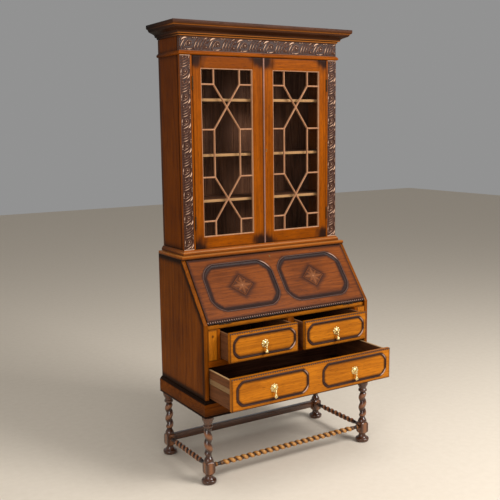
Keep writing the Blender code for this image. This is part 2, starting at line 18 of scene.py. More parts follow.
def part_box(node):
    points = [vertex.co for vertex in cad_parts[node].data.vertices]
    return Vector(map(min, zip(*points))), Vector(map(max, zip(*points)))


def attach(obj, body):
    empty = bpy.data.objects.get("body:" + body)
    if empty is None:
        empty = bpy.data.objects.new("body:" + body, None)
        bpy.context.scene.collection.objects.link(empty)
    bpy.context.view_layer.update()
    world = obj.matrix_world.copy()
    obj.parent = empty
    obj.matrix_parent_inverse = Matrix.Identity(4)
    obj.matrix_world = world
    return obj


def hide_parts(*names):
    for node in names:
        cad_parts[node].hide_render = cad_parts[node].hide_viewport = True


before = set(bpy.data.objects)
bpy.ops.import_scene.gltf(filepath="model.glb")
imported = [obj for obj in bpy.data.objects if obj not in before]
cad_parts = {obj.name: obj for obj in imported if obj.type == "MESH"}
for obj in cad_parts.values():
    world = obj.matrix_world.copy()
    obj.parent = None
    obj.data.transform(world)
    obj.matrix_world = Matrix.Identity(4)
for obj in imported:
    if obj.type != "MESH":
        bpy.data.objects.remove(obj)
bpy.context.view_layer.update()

LOG = logging.getLogger("secretary_desk")
BACK_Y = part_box("bureau_back")[1][1]
Point2 = tuple[float, float]
Colour = tuple[float, float, float]
ShadeRule = Callable[[Vector], float]
FALL_SLOPE = math.radians(37.8)   # of the fall, from upright
HALF_DIAGONAL = 0.7071
NICK_CYCLE = 6                    # columns of a carved bead from nick to nick
WELD_GAP = 0.00002
EASE_ANGLE = math.radians(40)     # sharper edges of a CAD node are eased


def depth_y(depth: float) -> float:
    """World Y of a point this far forward of the desk's back."""
    return BACK_Y - depth


def spans(low: Sequence[float], high: Sequence[float]) -> tuple[Point2, Point2, Point2]:
    """Extents in X, in depth and in Z of a CAD node's box."""
    return (low[0], high[0]), (BACK_Y - high[1], BACK_Y - low[1]), (low[2], high[2])


def smoothstep(low: float, high: float, value: float) -> float:
    """Smooth 0 to 1 ramp of value between low and high."""
    t = min(1.0, max(0.0, (value - low) / (high - low)))
    return t * t * (3.0 - 2.0 * t)


# ---- shader wiring
class Wire:
    """A shader socket that takes part in Python arithmetic."""

    def __init__(self, tree: "ShaderTree", socket: bpy.types.NodeSocket) -> None:
        """Keep the tree and the output socket."""
        self.tree = tree
        self.socket = socket

    def maths(self, operation: str, *values: Union["Wire", float]) -> "Wire":
        """Add one Math node.

        Args:
            operation: the node's operation.
            values: its inputs in order, wires or numbers.

        Returns:
            The node's output.
        """
        node = self.tree.node("ShaderNodeMath", {"operation": operation}, dict(enumerate(values)))
        return Wire(self.tree, node.outputs[0])

    def __add__(self, other: Union["Wire", float]) -> "Wire":
        """Sum."""
        return self.maths("ADD", self, other)

    __radd__ = __add__

    def __mul__(self, other: Union["Wire", float]) -> "Wire":
        """Product."""
        return self.maths("MULTIPLY", self, other)

    __rmul__ = __mul__

    def __sub__(self, other: Union["Wire", float]) -> "Wire":
        """Difference."""
        return self.maths("SUBTRACT", self, other)

    def __rsub__(self, other: float) -> "Wire":
        """Reflected difference."""
        return self.maths("SUBTRACT", other, self)

    def ramp(self, low: float, high: float) -> "Wire":
        """Smooth 0 to 1 step between low and high.

        Args:
            low: where it starts.
            high: where it ends.

        Returns:
            The stepped value.
        """
        node = self.tree.node("ShaderNodeMapRange", {"interpolation_type": "SMOOTHSTEP"},
                              {"Value": self, "From Min": low, "From Max": high})
        return Wire(self.tree, node.outputs[0])


class ShaderTree:
    """A material's node tree, built node by node."""

    def __init__(self, name: str) -> None:
        """Start a material that holds one Principled shader.

        Args:
            name: its name.
        """
        self.material = bpy.data.materials.new(name)
        self.material.use_nodes = True
        self.tree = self.material.node_tree
        self.shader = self.tree.nodes["Principled BSDF"]

    def feed(self, socket: bpy.types.NodeSocket, value: object) -> None:
        """Link a wire or socket to an input, or set its value.

        Args:
            socket: the input.
            value: a wire, socket, number or colour.
        """
        if isinstance(value, Wire):
            value = value.socket
        if isinstance(value, bpy.types.NodeSocket):
            self.tree.links.new(value, socket)
        elif isinstance(value, tuple) and len(value) == 3 and socket.type == "RGBA":
            socket.default_value = (*value, 1.0)
        else:
            socket.default_value = value

    def node(self, kind: str, settings: Optional[dict] = None,
             values: Optional[dict] = None) -> bpy.types.Node:
        """Add any node.

        Args:
            kind: the node's type.
            settings: its properties, set first.
            values: its inputs by name or number.

        Returns:
            The node.
        """
        made = self.tree.nodes.new(kind)
        for key, value in (settings or {}).items():
            setattr(made, key, value)
        for key, value in (values or {}).items():
            self.feed(made.inputs[key], value)
        return made

    def attribute(self, name: str) -> Wire:
        """Value of a mesh attribute."""
        return Wire(self, self.node("ShaderNodeAttribute", {"attribute_name": name}).outputs["Fac"])

    def vector(self, operation: str, values: dict) -> bpy.types.NodeSocket:
        """One Vector Math node's output."""
        return self.node("ShaderNodeVectorMath", {"operation": operation}, values).outputs[0]

    def noise(self, place: bpy.types.NodeSocket, scale: float, detail: float = 2.0,
              warp: float = 0.0) -> Wire:
        """Noise of a given scale on some coordinates.

        Args:
            place: coordinates.
            scale: cells to the metre.
            detail: octaves.
            warp: distortion.

        Returns:
            Its value.
        """
        node = self.node("ShaderNodeTexNoise", None,
                         {"Vector": place, "Scale": scale, "Detail": detail, "Distortion": warp})
        return Wire(self, node.outputs[0])

    def mix(self, factor: Union[Wire, float], low: object, high: object,
            blend: str = "MIX") -> bpy.types.NodeSocket:
        """Blend two colours.

        Args:
            factor: share of the second.
            low: first colour.
            high: second colour.
            blend: how they blend.

        Returns:
            The colour.
        """
        node = self.node("ShaderNodeMix", {"data_type": "RGBA", "blend_type": blend, "clamp_factor": True},
                         {0: factor, 6: low, 7: high})
        return node.outputs[2]

    def dress(self, **inputs: object) -> bpy.types.Material:
        """Feed the shader's named inputs and return the material.

        Returns:
            The material.
        """
        for name, value in inputs.items():
            self.feed(self.shader.inputs[name.replace("_", " ").title().replace("Ior", "IOR")], value)
        return self.material


class Grain(Enum):
    """Direction in which a board's fibres run, as the stretch of its pattern."""

    ALONG_X = (0.05, 1.0, 1.0)
    ALONG_Y = (1.0, 0.05, 1.0)
    ALONG_Z = (1.0, 1.0, 0.05)


@dataclass(frozen=True)
class OakFinish:
    """Stained and waxed oak: its two grain tones, its dark tone for staining and painted shade, and its light
    tone for wear and painted highlights.
    """

    name: str
    light: Colour
    dark: Colour
    stain_and_shade: Colour = (0.022, 0.010, 0.006)
    worn_and_lit: Colour = (0.45, 0.24, 0.10)
    roughness: float = 0.36
    coat: float = 0.02
    patchwork: float = 0.15
    gloss: float = 0.07

    def material(self, grain: Grain) -> bpy.types.Material:
        """Oak with growth figure, fibres and pores along one direction.

        Args:
            grain: the fibres' direction.

        Returns:
            The material.
        """
        name = f"{self.name}_{grain.name.lower()}"
        if name in bpy.data.materials:
            return bpy.data.materials[name]
        tree = ShaderTree(name)
        place = tree.node("ShaderNodeTexCoord").outputs["Object"]
        board = tree.attribute("board")
        jump = tree.node("ShaderNodeVectorMath", {"operation": "SCALE"},
                         {0: (1.37, 2.11, 0.73), "Scale": board})
        place = tree.vector("ADD", {0: place, 1: jump.outputs[0]})
        long = tree.vector("MULTIPLY", {0: place, 1: grain.value})
        figure = tree.noise(long, 11.0, 2.0, 0.8)
        rings = (figure * 9.0).maths("PINGPONG", figure * 9.0, 0.5) * 2.0
        fibre = tree.noise(long, 240.0, 3.0)
        pores = tree.noise(long, 620.0, 1.0).ramp(0.58, 0.72)
        patch = tree.noise(place, 5.0, 2.0)
        plank = (board * 3.713).maths("FRACT")
        tone = rings * 0.28 + fibre * 0.60 + patch * 0.62 + plank * self.patchwork
        tone = tone - (0.30 + self.patchwork / 2)
        colour = tree.mix(tone.ramp(0.05, 0.95), self.dark, self.light)
        colour = tree.mix(pores * 0.55, colour, self.stain_and_shade)
        shade = tree.attribute("shade")
        # Positive shade mixes in the dark tone, for staining and for painted shade; negative shade mixes in
        # the light tone, for wear and for painted highlights.
        colour = tree.mix(shade.ramp(0.0, 1.0), colour, self.stain_and_shade)
        colour = tree.mix((0.0 - shade).ramp(0.0, 1.0), colour, self.worn_and_lit)
        relief = fibre * 0.7 - pores * 0.8
        bump = tree.node("ShaderNodeBump", None, {"Strength": 0.35, "Distance": 0.0006, "Height": relief})
        return tree.dress(base_color=colour, roughness=fibre * 0.16 + (self.roughness - 0.08),
                          specular_ior_level=self.gloss, coat_weight=self.coat, coat_roughness=0.2,
                          normal=bump.outputs[0])


@dataclass(frozen=True)
class MetalFinish:
    """Cast brass with grime in its hollows and painted shade in its piercings and keyholes."""

    name: str
    bright: Colour
    dull: Colour
    roughness: float = 0.30

    def material(self) -> bpy.types.Material:
        """Brass whose tone varies and darkens where the mesh says so.

        Returns:
            The material.
        """
        if self.name in bpy.data.materials:
            return bpy.data.materials[self.name]
        tree = ShaderTree(self.name)
        place = tree.node("ShaderNodeTexCoord").outputs["Object"]
        cloud = tree.noise(place, 160.0, 3.0)
        colour = tree.mix(cloud.ramp(0.35, 0.75), self.dull, self.bright)
        colour = tree.mix(tree.attribute("shade").ramp(0.0, 1.0), colour, (0.06, 0.035, 0.012))
        bump = tree.node("ShaderNodeBump", None, {"Strength": 0.2, "Distance": 0.0004, "Height": cloud})
        return tree.dress(base_color=colour, metallic=1.0, roughness=cloud * 0.2 + (self.roughness - 0.1),
                          normal=bump.outputs[0])


@dataclass(frozen=True)
class GlassFinish:
    """Old drawn glass: clear, with a faint dusty film."""

    name: str = "old_glass"

    def material(self) -> bpy.types.Material:
        """Thin pane that is mostly see-through.

        Returns:
            The material.
        """
        tree = ShaderTree(self.name)
        place = tree.node("ShaderNodeTexCoord").outputs["Object"]
        film = tree.noise(place, 6.0, 3.0)
        ripple = tree.noise(place, 9.0, 1.0)
        bump = tree.node("ShaderNodeBump", None, {"Strength": 0.12, "Distance": 0.002, "Height": ripple})
        return tree.dress(base_color=(0.030, 0.018, 0.012), roughness=0.05, specular_ior_level=0.3,
                          alpha=film * 0.07 + 0.02, normal=bump.outputs[0])


@dataclass(frozen=True)
class FloorFinish:
    """Plain pale studio floor."""

    name: str = "studio_floor"

    def material(self) -> bpy.types.Material:
        """Matt floor with a very faint mottle.

        Returns:
            The material.
        """
        tree = ShaderTree(self.name)
        place = tree.node("ShaderNodeTexCoord").outputs["Object"]
        colour = tree.mix(tree.noise(place, 30.0, 4.0), (0.76, 0.66, 0.53), (0.84, 0.74, 0.61))
        return tree.dress(base_color=colour, roughness=0.85)


# Each finish's dark tone serves both staining and painted shade, and its light tone both wear and painted
# highlights.
HONEY = OakFinish("honey_oak", (0.60, 0.190, 0.008), (0.32, 0.090, 0.004), stain_and_shade=(0.020, 0.008, 0.005))
DOOR = OakFinish("door_oak", (0.34, 0.080, 0.002), (0.17, 0.037, 0.001), stain_and_shade=(0.020, 0.008, 0.005),
                 coat=0.0, gloss=0.03)
CASE = OakFinish("case_oak", (0.27, 0.068, 0.003), (0.095, 0.021, 0.001), stain_and_shade=(0.010, 0.004, 0.002),
                 worn_and_lit=(0.60, 0.21, 0.010), coat=0.0, gloss=0.04)
UPPER = OakFinish("upper_case_oak", (0.20, 0.046, 0.001), (0.092, 0.019, 0.001), stain_and_shade=(0.008, 0.003, 0.002),
                  coat=0.0, gloss=0.03)
FALL = OakFinish("fall_oak", (0.25, 0.062, 0.009), (0.105, 0.025, 0.004), stain_and_shade=(0.020, 0.008, 0.006))
EDGE = OakFinish("edge_oak", (0.36, 0.095, 0.006), (0.19, 0.044, 0.003), stain_and_shade=(0.014, 0.006, 0.004),
                 worn_and_lit=(0.58, 0.26, 0.07))
CORNICE = OakFinish("cornice_oak", (0.095, 0.034, 0.014), (0.036, 0.012, 0.005), stain_and_shade=(0.006, 0.003, 0.002),
                    worn_and_lit=(0.44, 0.145, 0.020), roughness=0.34, coat=0.02, gloss=0.03)
CARVED = OakFinish("carved_oak", (0.145, 0.055, 0.028), (0.065, 0.023, 0.012), stain_and_shade=(0.016, 0.006, 0.004),
                   worn_and_lit=(0.68, 0.43, 0.29), roughness=0.40, coat=0.08, gloss=0.12)
BEAD = OakFinish("bead_oak", (0.070, 0.028, 0.018), (0.026, 0.010, 0.007), stain_and_shade=(0.010, 0.004, 0.003),
                 worn_and_lit=(0.50, 0.30, 0.22), roughness=0.46, gloss=0.12)
TURNED = OakFinish("turned_oak", (0.12, 0.038, 0.013), (0.036, 0.011, 0.004), stain_and_shade=(0.006, 0.002, 0.001),
                   worn_and_lit=(0.56, 0.21, 0.07), roughness=0.22, coat=0.8, gloss=0.3)
GOLDEN = OakFinish("golden_oak", (0.42, 0.170, 0.035), (0.16, 0.055, 0.012), stain_and_shade=(0.018, 0.007, 0.004),
                   worn_and_lit=(0.74, 0.36, 0.10), roughness=0.28, coat=0.25, gloss=0.2)
ROSE = OakFinish("rosette_oak", (0.25, 0.078, 0.024), (0.130, 0.038, 0.012), stain_and_shade=(0.024, 0.009, 0.006),
                 worn_and_lit=(0.50, 0.23, 0.10))
TAN = OakFinish("tan_oak", (0.50, 0.26, 0.14), (0.34, 0.155, 0.075), worn_and_lit=(0.70, 0.46, 0.28))
MEETING = OakFinish("meeting_oak", (0.34, 0.17, 0.12), (0.20, 0.085, 0.055), worn_and_lit=(0.50, 0.32, 0.25))
INSIDE = OakFinish("inside_oak", (0.21, 0.090, 0.044), (0.055, 0.020, 0.010), worn_and_lit=(0.50, 0.28, 0.12),
                   roughness=0.55, coat=0.0, patchwork=0.9)
LINING = OakFinish("lining_oak", (0.19, 0.070, 0.026), (0.085, 0.029, 0.011), worn_and_lit=(0.48, 0.30, 0.14),
                   roughness=0.5, coat=0.0)
BRASS = MetalFinish("brass", (0.95, 0.76, 0.36), (0.66, 0.46, 0.17))
OLD_BRASS = MetalFinish("old_brass", (0.40, 0.26, 0.10), (0.17, 0.10, 0.04), 0.42)
DARK_BRASS = MetalFinish("dark_brass", (0.13, 0.075, 0.035), (0.06, 0.034, 0.018), 0.5)


# ---- piece building
class Piece:
    """One visible piece, gathered from boards, mouldings and turnings."""

    def __init__(self, name: str) -> None:
        """Start an empty mesh with its shade attribute, for staining, wear and painted light, and its board
        attribute.

        Args:
            name: its name.
        """
        self.name = name
        self.bm = bmesh.new()
        self.shade = self.bm.verts.layers.float.new("shade")
        self.board = self.bm.verts.layers.float.new("board")
        self.boards = 0
        self.seed = sum(ord(letter) * (index + 3) for index, letter in enumerate(name)) % 97

    def settle(self, slot: int = 0, rule: Optional[ShadeRule] = None,
               smooth: bool = True) -> list[bmesh.types.BMVert]:
        """Mark what was added since the last call as one board.

        Args:
            slot: its material slot.
            rule: tone by place, from -1 (wear and painted highlight) to 1 (black: staining and painted
                shade).
            smooth: whether its faces are shaded smooth.

        Returns:
            The new vertices.
        """
        self.boards += 1
        fresh = [vert for vert in self.bm.verts if vert[self.board] == 0.0]
        mark = 1.0 + 0.37 * self.seed + 0.61 * self.boards
        for vert in fresh:
            vert[self.board] = mark
            if rule is not None:
                vert[self.shade] = rule(vert.co)
        for face in {face for vert in fresh for face in vert.link_faces}:
            face.material_index = slot
            face.smooth = smooth
        return fresh

    def fresh_edges(self) -> list[bmesh.types.BMEdge]:
        """Edges added since the last board was settled."""
        return [edge for edge in self.bm.edges if all(vert[self.board] == 0.0 for vert in edge.verts)]

    def slice(self, axis: int, low: float, high: float, step: float) -> None:
        """Cut the unsettled board across one axis at a regular spacing.

        Args:
            axis: 0, 1 or 2.
            low: the board's lower bound.
            high: its upper bound.
            step: rough spacing.
        """
        normal = Vector((axis == 0, axis == 1, axis == 2))
        for index in range(1, int((high - low) / step)):
            fresh = [vert for vert in self.bm.verts if vert[self.board] == 0.0]
            edges = {edge for vert in fresh for edge in vert.link_edges}
            faces = {face for vert in fresh for face in vert.link_faces}
            place = low + index * (high - low) / int((high - low) / step)
            bmesh.ops.bisect_plane(self.bm, geom=[*fresh, *edges, *faces], plane_co=normal * place,
                                   plane_no=normal)

    def box(self, x: Point2, depth: Point2, z: Point2, slot: int = 0, edge: float = 0.0008,
            rule: Optional[ShadeRule] = None, step: float = 0.0) -> list[bmesh.types.BMVert]:
        """Add a board with eased edges.

        Args:
            x, depth, z: its extent.
            slot: its material slot.
            edge: width of the eased edges.
            rule: tone by place, for staining, wear and painted light.
            step: spacing of the cuts that carry the stain, or 0.

        Returns:
            Its vertices.
        """
        low = Vector((min(x), depth_y(max(depth)), min(z)))
        high = Vector((max(x), depth_y(min(depth)), max(z)))
        matrix = Matrix.Translation((low + high) / 2) @ Matrix.Diagonal((*(high - low), 1.0))
        bmesh.ops.create_cube(self.bm, size=1.0, matrix=matrix)
        if edge:
            bmesh.ops.bevel(self.bm, geom=self.fresh_edges(), offset=edge, offset_type="OFFSET", segments=2,
                            profile=0.5, affect="EDGES", material=-1, clamp_overlap=True)
        if step:
            for axis in range(3):
                self.slice(axis, low[axis], high[axis], step)
        return self.settle(slot, rule)

    def loft(self, rings: Sequence[Sequence[Sequence[float]]], slot: int = 0,
             rule: Optional[ShadeRule] = None, caps: bool = True,
             close: bool = False) -> list[bmesh.types.BMVert]:
        """Extrude a closed ring of points through a row of rings.

        Args:
            rings: rings with the same number of points.
            slot: material slot.
            rule: tone by place, for staining, wear and painted light.
            caps: whether the first and last rings are filled.
            close: whether the last ring joins the first.

        Returns:
            The new vertices.
        """
        ring = [self.bm.verts.new(point) for point in rings[0]]
        first = list(ring)
        edges = [self.bm.edges.new((ring[i - 1], ring[i])) for i in range(len(ring))]
        first_edges = list(edges)
        for target in rings[1:]:
            grown = bmesh.ops.extrude_edge_only(self.bm, edges=edges)["geom"]
            fresh = {item for item in grown if isinstance(item, bmesh.types.BMVert)}
            edges = [item for item in grown if isinstance(item, bmesh.types.BMEdge)
                     and all(vert in fresh for vert in item.verts)]
            ring = [next(edge.other_vert(vert) for edge in vert.link_edges if edge.other_vert(vert) in fresh)
                    for vert in ring]
            for vert, point in zip(ring, target):
                vert.co = point
        if close:
            bmesh.ops.bridge_loops(self.bm, edges=edges + first_edges)
        elif caps:
            self.bm.faces.new(first)
            self.bm.faces.new(ring)
        return self.settle(slot, rule)

    def mitred(self, profile: Sequence[Point2], half: float, front: float, back: float = 0.0, slot: int = 0,
               rule: Optional[ShadeRule] = None) -> list[bmesh.types.BMVert]:
        """Run a closed (projection, z) profile round the left, front and right.

        Args:
            profile: closed section.
            half: half width it runs round.
            front: depth of the front it runs along.
            back: depth where it ends.
            slot: its material slot.
            rule: tone by place, for staining, wear and painted light.

        Returns:
            The new vertices.
        """
        def section(sign: int, at_front: bool) -> list[tuple[float, float, float]]:
            """The profile at one mitre or end."""
            return [(sign * (half + out), depth_y(front + out if at_front else back), z)
                    for out, z in profile]
        return self.loft([section(-1, False), section(-1, True), section(1, True), section(1, False)], slot,
                         rule)

    def relief(self, u: Point2, v: Point2, height: np.ndarray,
               place: Callable[[float, float, float], Sequence[float]],
               sink: float, slot: int = 0, tones: Point2 = (0.8, -0.5)) -> list[bmesh.types.BMVert]:
        """Add a carved slab: a fine grid raised by a height map, closed at the back.

        Args:
            u, v: extent of the carved field.
            height: map from 0 to 1 with shape (nu, nv).
            place: turns (u, v, height) into a point.
            sink: height value of the slab's hidden back.
            slot: material slot.
            tones: shade value of the ground and of the crests: painted shade with grime on the ground,
                painted highlight with wear on the crests.

        Returns:
            The new vertices.
        """
        columns, rows = height.shape
        grid = bmesh.ops.create_grid(self.bm, x_segments=columns - 1, y_segments=rows - 1, size=0.5)["verts"]
        for vert in grid:
            i = round((vert.co.x + 0.5) * (columns - 1))
            j = round((vert.co.y + 0.5) * (rows - 1))
            rise = float(height[i, j])
            vert.co = place(u[0] + (u[1] - u[0]) * i / (columns - 1),
                            v[0] + (v[1] - v[0]) * j / (rows - 1), rise)
            # Painted shade on the low ground and painted highlight on the crests, with grime and wear.
            vert[self.shade] = tones[0] + (tones[1] - tones[0]) * min(1.0, max(0.0, rise)) ** 1.5
        rim = [edge for edge in {edge for vert in grid for edge in vert.link_edges} if edge.is_boundary]
        centre_u, centre_v = sum(u) / 2, sum(v) / 2
        away = Vector(place(centre_u, centre_v, sink)) - Vector(place(centre_u, centre_v, 0.0))
        grown = bmesh.ops.extrude_edge_only(self.bm, edges=rim)["geom"]
        back = [item for item in grown if isinstance(item, bmesh.types.BMVert)]
        bmesh.ops.translate(self.bm, verts=back, vec=away)
        back_set = set(back)
        back_edges = [item for item in grown if isinstance(item, bmesh.types.BMEdge)
                      and all(vert in back_set for vert in item.verts)]
        bmesh.ops.edgeloop_fill(self.bm, edges=back_edges)
        return self.settle(slot)

    def turn_onto(self, verts: Sequence[bmesh.types.BMVert], matrix: Matrix) -> None:
        """Move some vertices by a matrix."""
        bmesh.ops.transform(self.bm, matrix=matrix, verts=list(verts))

    def finish(self, materials: Sequence[bpy.types.Material], body: str, slot: str, nodes: Sequence[str] = (),
               angle: float = 38.0) -> bpy.types.Object:
        """Close the mesh and hand the piece to the frame.

        Args:
            materials: its material slots.
            body: the CAD body that it rides on.
            slot: name of a material slot; not used.
            nodes: CAD nodes that it stands for.
            angle: sharpest angle in degrees that is shaded smooth.

        Returns:
            The piece.
        """
        bmesh.ops.recalc_face_normals(self.bm, faces=self.bm.faces)
        mesh = bpy.data.meshes.new(self.name)
        self.bm.to_mesh(mesh)
        self.bm.free()
        mesh.set_sharp_from_angle(angle=math.radians(angle))
        for material in materials:
            mesh.materials.append(material)
        made = bpy.data.objects.new(self.name, mesh)
        bpy.context.scene.collection.objects.link(made)
        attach(made, body)
        if nodes:
            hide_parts(*nodes)
        LOG.info("%s: %d faces on %s", self.name, len(mesh.polygons), body)
        return made


def dress_node(node: str, material: bpy.types.Material, ease: float = 0.0006) -> None:
    """Give a CAD node its finish and, where wanted, eased edges.

    Args:
        node: the CAD node.
        material: its finish.
        ease: width of the eased edges, or 0.
    """
    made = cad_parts[node]
    made.data.materials.clear()
    made.data.materials.append(material)
    if ease:
        weld = made.modifiers.new("weld", "WELD")
        weld.merge_threshold = WELD_GAP
        bevel = made.modifiers.new("ease", "BEVEL")
        bevel.width = ease
        bevel.segments = 2
        bevel.limit_method = "ANGLE"
        bevel.angle_limit = EASE_ANGLE


# ---- stain rules
def edge_stain(x: Point2, z: Point2, reach: float, strength: float) -> ShadeRule:
    """Stain that gathers along the edges of an upright rectangle in X and Z.

    Args:
        x: extent in X.
        z: extent in Z.
        reach: how far it spreads.
        strength: its darkness at the edge.

    Returns:
        The rule.
    """
    def rule(co: Vector) -> float:
        """Stain at a point."""
        gap = min(co.x - x[0], x[1] - co.x, co.z - z[0], z[1] - co.z)
        return strength * (1.0 - smoothstep(0.0, reach, max(0.0, gap)))
    return rule


def corner_stain(x: Point2, z: Point2, reach: float, strength: float) -> ShadeRule:
    """Stain that gathers at the corners of an upright rectangle.

    Args:
        x: extent in X.
        z: extent in Z.
        reach: how far it spreads.
        strength: its darkness at the corner.

    Returns:
        The rule.
    """
    def rule(co: Vector) -> float:
        """Stain at a point.

        Args:
            co: a point of the board.

        Returns:
            Its stain.
        """
        dx = min(abs(co.x - x[0]), abs(x[1] - co.x))
        dz = min(abs(co.z - z[0]), abs(z[1] - co.z))
        ragged = 0.10 * math.sin(83.0 * co.z + 31.0 * co.x) + 0.07 * math.sin(190.0 * co.x - 57.0 * co.z)
        return strength * (1.0 - smoothstep(0.35, 1.30, math.hypot(dx / 1.28, dz) / reach + ragged))
    return rule


# ---- carving
@dataclass
class Scrolls:
    """A running S-scroll with leaves, carved in low relief on a long field."""

    length: float
    width: float
    repeats: int
    grain: float = 0.0012
    start: float = 0.0

    def balls(self) -> list[tuple[float, float, float]]:
        """(along, across, radius) of the gouge's rounded strokes.

        Returns:
            The strokes.
        """
        unit = self.length / self.repeats
        half = self.width / 2
        marks: list[tuple[float, float, float]] = []
        for index in range(self.repeats):
            base = index * unit
            for start, bend, stop, thick in self.leaves():
                marks += self.stroke(base, unit, half, start, bend, stop, thick)
            marks += self.volute(base + 0.345 * unit, 0.02 * half, 0.50 * half, 1.0)
            marks += self.volute(base + 0.93 * unit, -0.45 * half, 0.30 * half, -1.0)
            for along, across in ((0.345, 0.02), (0.53, 0.80), (0.60, 0.84), (0.47, 0.82), (0.20, -0.80),
                                  (0.93, -0.45)):
                marks.append((base + along * unit, across * half, 0.105 * half))
        return marks

    def leaves(self) -> list[tuple[Point2, Point2, Point2, float]]:
        """(start, bend, stop, thickness) of each leaf of one repeat, in fractions of it.

        Returns:
            The leaves.
        """
        leaves = [((0.02, -0.75), (0.10, 0.30), (0.22, 0.72), 0.105),
                  ((0.06, 0.40), (0.14, 0.92), (0.30, 0.78), 0.13),
                  ((0.13, -0.72), (0.20, -0.10), (0.25, 0.40), 0.09),
                  ((0.22, -0.78), (0.36, -0.88), (0.48, -0.60), 0.10),
                  ((0.02, 0.80), (0.06, 0.84), (0.10, 0.62), 0.08),
                  ((0.98, 0.86), (0.90, 0.80), (0.84, 0.55), 0.10)]
        for k in range(4):
            place = 0.50 + 0.105 * k
            leaves.append(((place, -0.78), (place + 0.04, 0.05), (place + 0.13, 0.62), 0.10 - 0.008 * k))
            leaves.append(((place + 0.10, 0.30), (place + 0.12, 0.62), (place + 0.18, 0.80), 0.07))
            leaves.append(((place + 0.02, -0.45), (place + 0.07, -0.40), (place + 0.085, -0.15), 0.055))
        for k in range(3):
            leaves.append(((0.86 + 0.05 * k, -0.05 + 0.1 * k), (0.90 + 0.05 * k, 0.1),
                           (0.95 + 0.04 * k, 0.42), 0.06))
        return leaves

    def stroke(self, base: float, unit: float, half: float, start: Point2, bend: Point2, stop: Point2,
               thick: float) -> list[tuple[float, float, float]]:
        """A tapering leaf cut along a bent line.

        Args:
            base: start of the repeat.
            unit: length of a repeat.
            half: half width of the field.
            start: fractions where it starts.
            bend: where it bends to.
            stop: where it ends.
            thick: its thickness.

        Returns:
            Its strokes.
        """
        marks = []
        for i in range(26):
            t = i / 25
            along, across = ((1 - t) ** 2 * a + 2 * t * (1 - t) * b + t * t * c
                             for a, b, c in zip(start, bend, stop))
            swell = 0.40 + 0.60 * math.sin(math.pi * min(1.0, 0.10 + 0.90 * t))
            marks.append((base + along * unit, across * half, thick * half * swell))
        return marks

    def volute(self, along: float, across: float, radius: float,
               flip: float) -> list[tuple[float, float, float]]:
        """A curling tendril that ends in a berry.

        Args:
            along: centre along the field.
            across: centre across it.
            radius: its outer radius.
            flip: 1 or -1, the hand of the curl.

        Returns:
            Its strokes.
        """
        marks = []
        for i in range(50):
            t = i / 49
            reach = radius * (1.0 - 0.66 * t)
            angle = math.radians(215.0 - 500.0 * t)
            marks.append((along + reach * math.cos(angle), across + flip * reach * math.sin(angle),
                          radius * (0.17 - 0.05 * t)))
        marks.append((along, across, radius * 0.24))
        return marks

    def height(self, taper: bool = False) -> np.ndarray:
        """Height map of the field, 0 on the ground and 1 on the crests.

        Args:
            taper: whether the ends have a border.

        Returns:
            The map.
        """
        columns = int(self.length / self.grain) + 1
        rows = int(self.width / self.grain) + 1
        along = np.linspace(0.0, self.length, columns)[:, None]
        across = np.linspace(-self.width / 2, self.width / 2, rows)[None, :]
        field_map = np.zeros((columns, rows))
        crest = 0.105 * self.width / 2
        for centre, side, radius in self.balls():
            first = max(0, int((centre - radius) / self.grain) - 1)
            last = min(columns, int((centre + radius) / self.grain) + 3)
            if first >= last:
                continue
            gap = (along[first:last] - centre) ** 2 + (across - side) ** 2
            rise = np.sqrt(np.maximum(0.0, radius ** 2 - gap)) / crest
            field_map[first:last] = np.maximum(field_map[first:last], rise)
        field_map = np.minimum(field_map, 1.15)
        draw = np.random.default_rng(int(self.start) + 11)
        field_map += draw.uniform(-0.08, 0.08, field_map.shape)
        border = self.width / 2 - np.abs(across) + 0 * along
        rim = np.clip((0.0032 - border) / 0.0012, 0.0, 1.0)
        field_map = np.maximum(field_map, rim * 0.55)
        if taper:
            ends = np.minimum(along, self.length - along) + 0 * across
            field_map = np.maximum(field_map, np.clip((0.004 - ends) / 0.0015, 0.0, 1.0) * 0.9)
        return field_map


